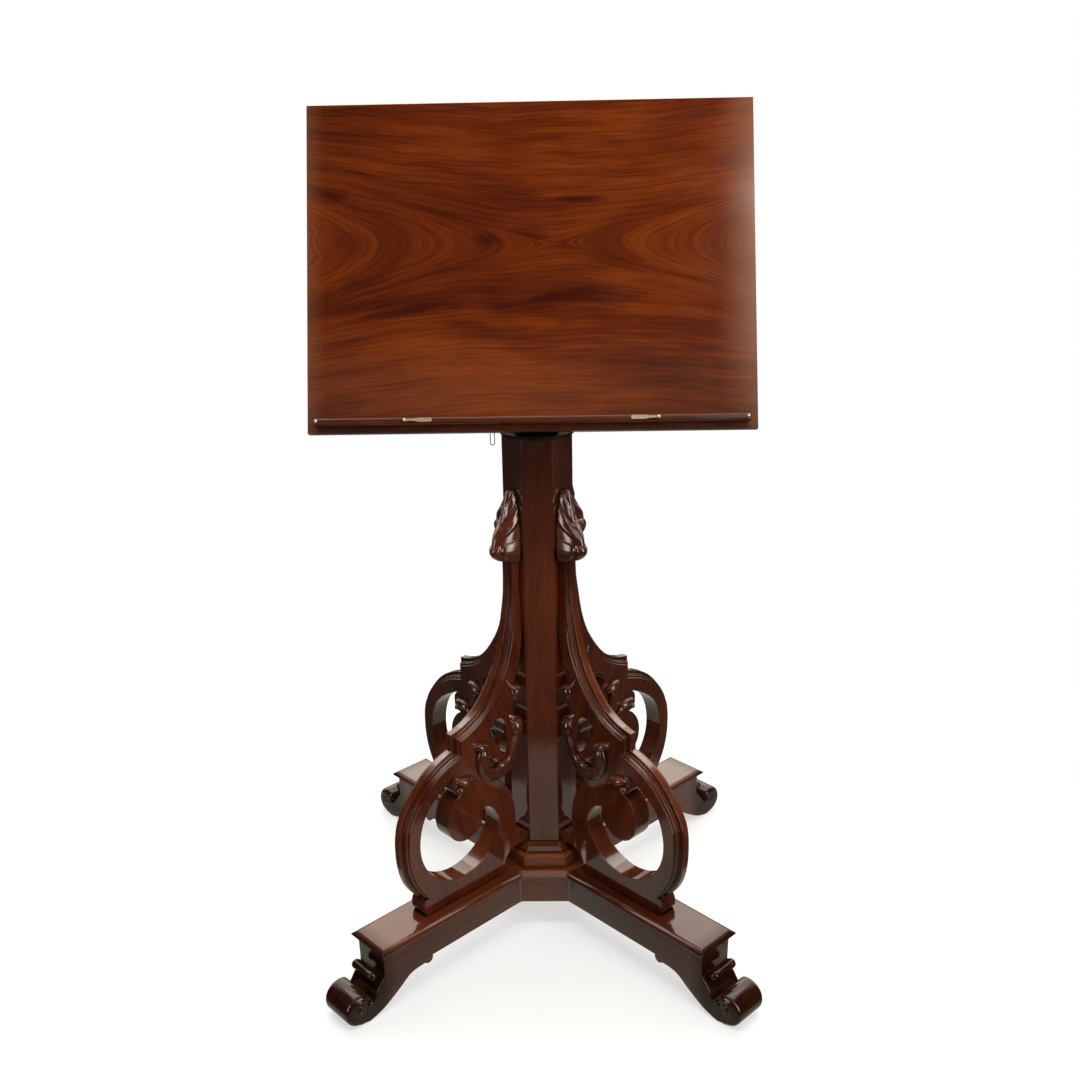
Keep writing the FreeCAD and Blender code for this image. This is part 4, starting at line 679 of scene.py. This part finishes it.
def inward(outline):
    """The unit direction into a closed anticlockwise outline at each of its points."""
    step = np.roll(outline, -1, axis=0) - np.roll(outline, 1, axis=0)
    step /= np.linalg.norm(step, axis=1, keepdims=True)
    return np.stack([-step[:, 1], step[:, 0]], 1)


def rounded_slab(side, outline, rounding):
    """The outline carried across the leg, its two edges rounded by a quarter circle."""
    angle = np.linspace(np.pi / 2, 0.0, 7)[:, None]
    inset = rounding * (1.0 - np.cos(angle))
    depth = leg_half - rounding * (1.0 - np.sin(angle))
    inset = np.vstack([inset, inset[::-1]])
    across = np.vstack([-depth, depth[::-1]])
    way = inward(outline)
    radius = outline[None, :, 0] + inset * way[None, :, 0]
    height = outline[None, :, 1] + inset * way[None, :, 1]
    return sheet_object("slab", in_leg_frame(side, radius, across, height))


def cap_moulding(side):
    """The cap: a rectangle that grows over a hollow, turns round a nose and shrinks again.

    The hollow is a quarter of an ellipse 7.1 mm wide and 8.4 mm high.  The nose is an arc
    of 2.3 mm radius, and above it the section falls back to the top by a shallow curve.
    """
    hollow_out, hollow_rise, nose_radius = 7.1, 8.4, 2.3
    hollow = np.linspace(0.0, np.pi / 2, 10)
    nose = np.radians(np.linspace(-70.0, 60.0, 9))
    crown = np.linspace(0.0, 1.0, 8)[1:]
    grow = np.concatenate([hollow_out * (1.0 - np.cos(hollow)), hollow_out + nose_radius * np.cos(nose),
                           8.25 * (1.0 - crown ** 1.4)])
    level_at = cap_foot + np.concatenate([hollow_rise * np.sin(hollow), 10.7 + nose_radius * np.sin(nose),
                                          12.7 + 4.9 * crown])
    end = leg_end - 1.4 + grow
    wide = leg_half + grow
    start = np.full_like(end, leg_start)
    radius = np.stack([start, end, end, start], 1)
    across = np.stack([-wide, -wide, wide, wide], 1)
    height = np.broadcast_to(level_at[:, None], radius.shape)
    return sheet_object("cap", in_leg_frame(side, radius, across, height))


def roll_across(side, centre, radius, half, dome):
    """A small roll across the leg: a circle that is a third thinner in the middle.

    Over the last stretch, dome millimetres long, the radius shrinks by the root of
    1 - share squared, so both ends close as domes.
    """
    share = np.linspace(-1.0, 1.0, 61)
    across = half * np.sin(share * np.pi / 2)
    waist = np.cos(np.clip(np.abs(share) * 1.35, 0.0, 1.0) * np.pi / 2) ** 2
    into_dome = np.clip((np.abs(across) - (half - dome)) / dome, 0.0, 1.0)
    thick = radius * (1.0 - 0.34 * waist) * np.sqrt(np.clip(1.0 - into_dome ** 2, 0.0004, 1.0))
    turn = np.linspace(0.0, 2.0 * np.pi, 32, endpoint=False)
    along = centre[0] + thick[:, None] * np.cos(turn)
    height = centre[1] + thick[:, None] * np.sin(turn)
    return sheet_object("roll", in_leg_frame(side, along, across[:, None], height))


def toe_spiral(side, face):
    """A thin raised line that winds into the eye of the toe, on one face of the leg."""
    seat = leg_half - 0.4
    knots = spiral_knots(toe_eye, 205.0, -1.35, 20.0, 4.0, 18)
    line = carved_band(knots, (0.6, 1.9, 2.2, 2.2, 2.0), (0.3, 1.5, 1.8, 2.0, 2.2), face, 0.0, 80, seat)
    dome = boss(toe_eye, 4.6, 4.6, 0, 3.2, face, seat)
    return [sheet_object("spiral", in_leg_frame(side, *line)), sheet_object("eye", in_leg_frame(side, *dome))]


def scroll_leg(side):
    """A whole leg: slab, cap, roll in the throat and the spirals of the toe."""
    outline, rounding = foot_profile()
    parts = [rounded_slab(side, outline, rounding), cap_moulding(side),
             roll_across(side, (427.6, 74.0), 9.3, 29.5, 9.0)]
    for face in (-1.0, 1.0):
        parts += toe_spiral(side, face)
    return join_meshes("carved_leg_" + side, parts, 20.0)

# %% [markdown]
# The book ledge
#
# The ledge is a plain bar screwed along the foot of the board, and hands have worn its
# front arrises and ends round.  A bevel on the joiner's bar would round every edge
# alike, also those against the board, so the section is written out instead: four
# corners, the two in front as quarter circles, carried from end to end.

# %% Ledge
def ledge_bar():
    """The book ledge: a bar whose front arrises and ends are rounded, carried along the board.

    depth is measured out of the board and rise up its slope, both from the board's lower
    front edge, and the ends are drawn in by a quarter circle of 4 mm.
    """
    half_length, depth_out, top, corner, lower_corner = 348.0, 25.0, 22.0, 4.0, 2.6
    over = np.linspace(0.0, np.pi / 2, 7)
    depth = np.concatenate([[0.3, 0.3], depth_out - corner + corner * np.sin(over),
                            depth_out - lower_corner + lower_corner * np.cos(over)])
    rise = np.concatenate([[top / 2, top], top - corner + corner * np.cos(over),
                           13.6 - lower_corner * np.sin(over)])
    straight = half_length - corner
    ends = straight + corner * np.cos(over)
    across = np.concatenate([-ends, ends[::-1]])
    drawn = corner - np.sqrt(np.clip(corner ** 2 - (np.abs(across) - straight) ** 2, 0.0, corner ** 2))
    outward = np.where(depth[None, :] > 10.0, depth[None, :] - drawn[:, None], depth[None, :])
    board_foot = np.array((-5.7, -89.99, 953.336))
    out_way, up_way = np.array((0.0, -0.93106, 0.36488)), np.array((0.0, 0.36488, 0.93106))
    points = (board_foot + across[:, None, None] * np.array((1.0, 0.0, 0.0)) + outward[..., None] * out_way
              + np.broadcast_to(rise, outward.shape)[..., None] * up_way)
    return sheet_object("rounded_ledge", points / 1000.0)


ledge = ledge_bar()
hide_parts("ledge")
ledge.data.materials.append(finishes["ledge"])
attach(ledge, "board")
print("ledge faces:", len(ledge.data.polygons))

# %% [markdown]
# Putting the carved work in place
#
# Each leg takes the place of the joiner's square-edged leg, while the leaf and the
# carving lie on the bracket, which stays.  All three ride on the base, so they stay
# put when the head swivels and the board tilts.

# %% Carved work
for side in sides:
    leaf = acanthus(side)
    carving = fretwork_carving(side)
    leg = scroll_leg(side)
    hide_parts("leg_" + side)
    for piece, finish in ((leaf, "carving_"), (carving, "carving_"), (leg, "leg_")):
        piece.data.materials.append(finishes[finish + side])
        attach(piece, "base")
    print(side, "faces of leaf, carving and leg:",
          [len(piece.data.polygons) for piece in (leaf, carving, leg)])

# %% [markdown]
# Floor, backdrop and light
#
# Polished wood is mostly what it reflects.  The stand is on white paper in a white
# studio: the paper behind and beside it gives the pale tops of the legs and the bright
# lines on the mouldings, and the dim side behind the camera keeps the board deep red.
# The world carries that difference.  Four large soft lamps light the wood: a key and a
# fill from the right, one above the front and one overhead.  Two tall reflector cards
# at the sides give the long highlights on the scrolls and are seen in the polish only.
# The paper round the stand is a bright oval in the polish, and the paper beyond it
# stays dim, so the lower column and the legs mirror it up to a clear line.

# %% Studio
def studio_floor():
    """A round sheet of paper: white near the stand, and its far rim melts into the sky."""
    turns = np.linspace(0.0, 2.0 * np.pi, 96, endpoint=False)
    rim = np.stack([6.0 * np.cos(turns), 6.0 * np.sin(turns), np.full(96, -0.0005)], 1)
    mesh = bpy.data.meshes.new("studio_floor")
    mesh.from_pydata(rim.tolist(), [], [list(range(96))])
    floor = bpy.data.objects.new("studio_floor", mesh)
    bpy.context.scene.collection.objects.link(floor)
    material = bpy.data.materials.new("white_paper")
    material.use_nodes = True
    tree = material.node_tree
    tree.nodes.clear()
    place = add(tree, "ShaderNodeTexCoord").outputs["Object"]
    reach = add(tree, "ShaderNodeVectorMath", {0: place}, operation="LENGTH").outputs["Value"]
    path = add(tree, "ShaderNodeLightPath")
    near = add(tree, "ShaderNodeMapRange", {
        "Value": reach, "From Min": 0.5, "From Max": 1.3, "To Min": 0.60, "To Max": 1.0})
    spread = add(tree, "ShaderNodeMapping", {
        "Vector": place, "Location": (0.0, -0.39, 0.0), "Scale": (1.8, 0.87, 1.0)})
    oval = add(tree, "ShaderNodeVectorMath", {0: spread.outputs[0]}, operation="LENGTH").outputs["Value"]
    inside = add(tree, "ShaderNodeMapRange", {
        "Value": oval, "From Min": 0.98, "From Max": 1.04, "To Min": 1.0, "To Max": 0.14})
    dim = maths(tree, "MULTIPLY", path.outputs["Is Glossy Ray"],
                maths(tree, "SUBTRACT", 1.0, inside.outputs[0]))
    bright = maths(tree, "SUBTRACT", 1.0, dim)
    seen = maths(tree, "MAXIMUM", path.outputs["Is Camera Ray"], path.outputs["Is Transmission Ray"])
    white = blend_colour(tree, path.outputs["Is Camera Ray"],
                         (0.32, 0.32, 0.32, 1.0), (0.92, 0.92, 0.92, 1.0))
    paper = add(tree, "ShaderNodeBsdfDiffuse", {"Color": white})
    tint = blend_colour(tree, path.outputs["Is Glossy Ray"], (1.0, 1.0, 1.0, 1.0), (0.56, 0.54, 0.45, 1.0))
    glow = add(tree, "ShaderNodeEmission", {"Color": tint, "Strength": bright})
    share = maths(tree, "MAXIMUM", maths(tree, "MULTIPLY", seen, near.outputs[0]),
                  path.outputs["Is Glossy Ray"])
    skin = add(tree, "ShaderNodeMixShader", {0: share, 1: paper.outputs[0], 2: glow.outputs[0]})
    output = add(tree, "ShaderNodeOutputMaterial")
    tree.links.new(skin.outputs[0], output.inputs["Surface"])
    mesh.materials.append(material)
    return floor


def studio_world():
    """White to the camera; elsewhere bright behind the stand and dim in front of it.

    In the polish it is brighter still, except low over the horizon, so that an edge seen
    at a flat angle keeps some of its own colour.
    """
    world = bpy.data.worlds.new("studio")
    world.use_nodes = True
    bpy.context.scene.world = world
    tree = world.node_tree
    tree.nodes.clear()
    direction = add(tree, "ShaderNodeTexCoord").outputs["Generated"]
    axes = add(tree, "ShaderNodeSeparateXYZ", {0: direction})
    back = add(tree, "ShaderNodeMapRange", {
        "Value": axes.outputs["Y"], "From Min": 0.25, "From Max": 0.62, "To Min": 0.0, "To Max": 2.1})
    above = add(tree, "ShaderNodeMapRange", {
        "Value": axes.outputs["Z"], "From Min": 0.74, "From Max": 0.98, "To Min": 0.03, "To Max": 0.9})
    level_wire = maths(tree, "MAXIMUM", back.outputs[0], above.outputs[0])
    path = add(tree, "ShaderNodeLightPath")
    horizon = add(tree, "ShaderNodeMapRange", {
        "Value": axes.outputs["Z"], "From Min": 0.10, "From Max": 0.38, "To Min": -0.65, "To Max": 0.7})
    mirrored = maths(tree, "MULTIPLY", path.outputs["Is Glossy Ray"], horizon.outputs[0])
    level_wire = maths(tree, "MULTIPLY", level_wire, maths(tree, "ADD", 1.0, mirrored))
    plain = add(tree, "ShaderNodeBackground", {"Color": (1.0, 1.0, 1.0, 1.0), "Strength": 1.0})
    room = add(tree, "ShaderNodeBackground", {"Color": (1.0, 0.94, 0.82, 1.0), "Strength": level_wire})
    skin = add(tree, "ShaderNodeMixShader", {
        0: path.outputs["Is Camera Ray"], 1: room.outputs[0], 2: plain.outputs[0]})
    output = add(tree, "ShaderNodeOutputWorld")
    tree.links.new(skin.outputs[0], output.inputs["Surface"])


def soft_lamp(name, place, target, width, height, power):
    """A soft box: a rectangle of light turned from its place to a target."""
    data = bpy.data.lights.new(name, "AREA")
    data.shape = "RECTANGLE"
    data.size, data.size_y = width, height
    data.energy = power
    data.color = (1.0, 0.97, 0.93)
    lamp = bpy.data.objects.new(name, data)
    way = Vector(target) - Vector(place)
    lamp.matrix_world = Matrix.Translation(place) @ way.to_track_quat("-Z", "Y").to_matrix().to_4x4()
    lamp.visible_camera = False
    bpy.context.scene.collection.objects.link(lamp)
    return lamp


studio_floor()
studio_world()
soft_lamp("key_softbox", (1.56, -1.9, 2.5), (0.0, 0.0, 0.9), 1.5, 1.4, 24.0)
soft_lamp("front_softbox", (0.0, -0.95, 3.1), (0.0, -0.3, 0.5), 2.4, 0.5, 46.0).visible_glossy = False
soft_lamp("fill_softbox", (2.2, -1.5, 1.3), (0.0, 0.0, 0.5), 0.8, 1.4, 13.0)
soft_lamp("top_softbox", (0.0, 1.0, 2.6), (0.0, 1.001, 0.0), 3.6, 1.4, 60.0)
for way in (-1.0, 1.0):
    card = soft_lamp("side_card", (1.80 * way, -1.45, 0.85), (0.0, -0.1, 0.6), 0.7, 1.5, 30.0)
    card.visible_diffuse = False
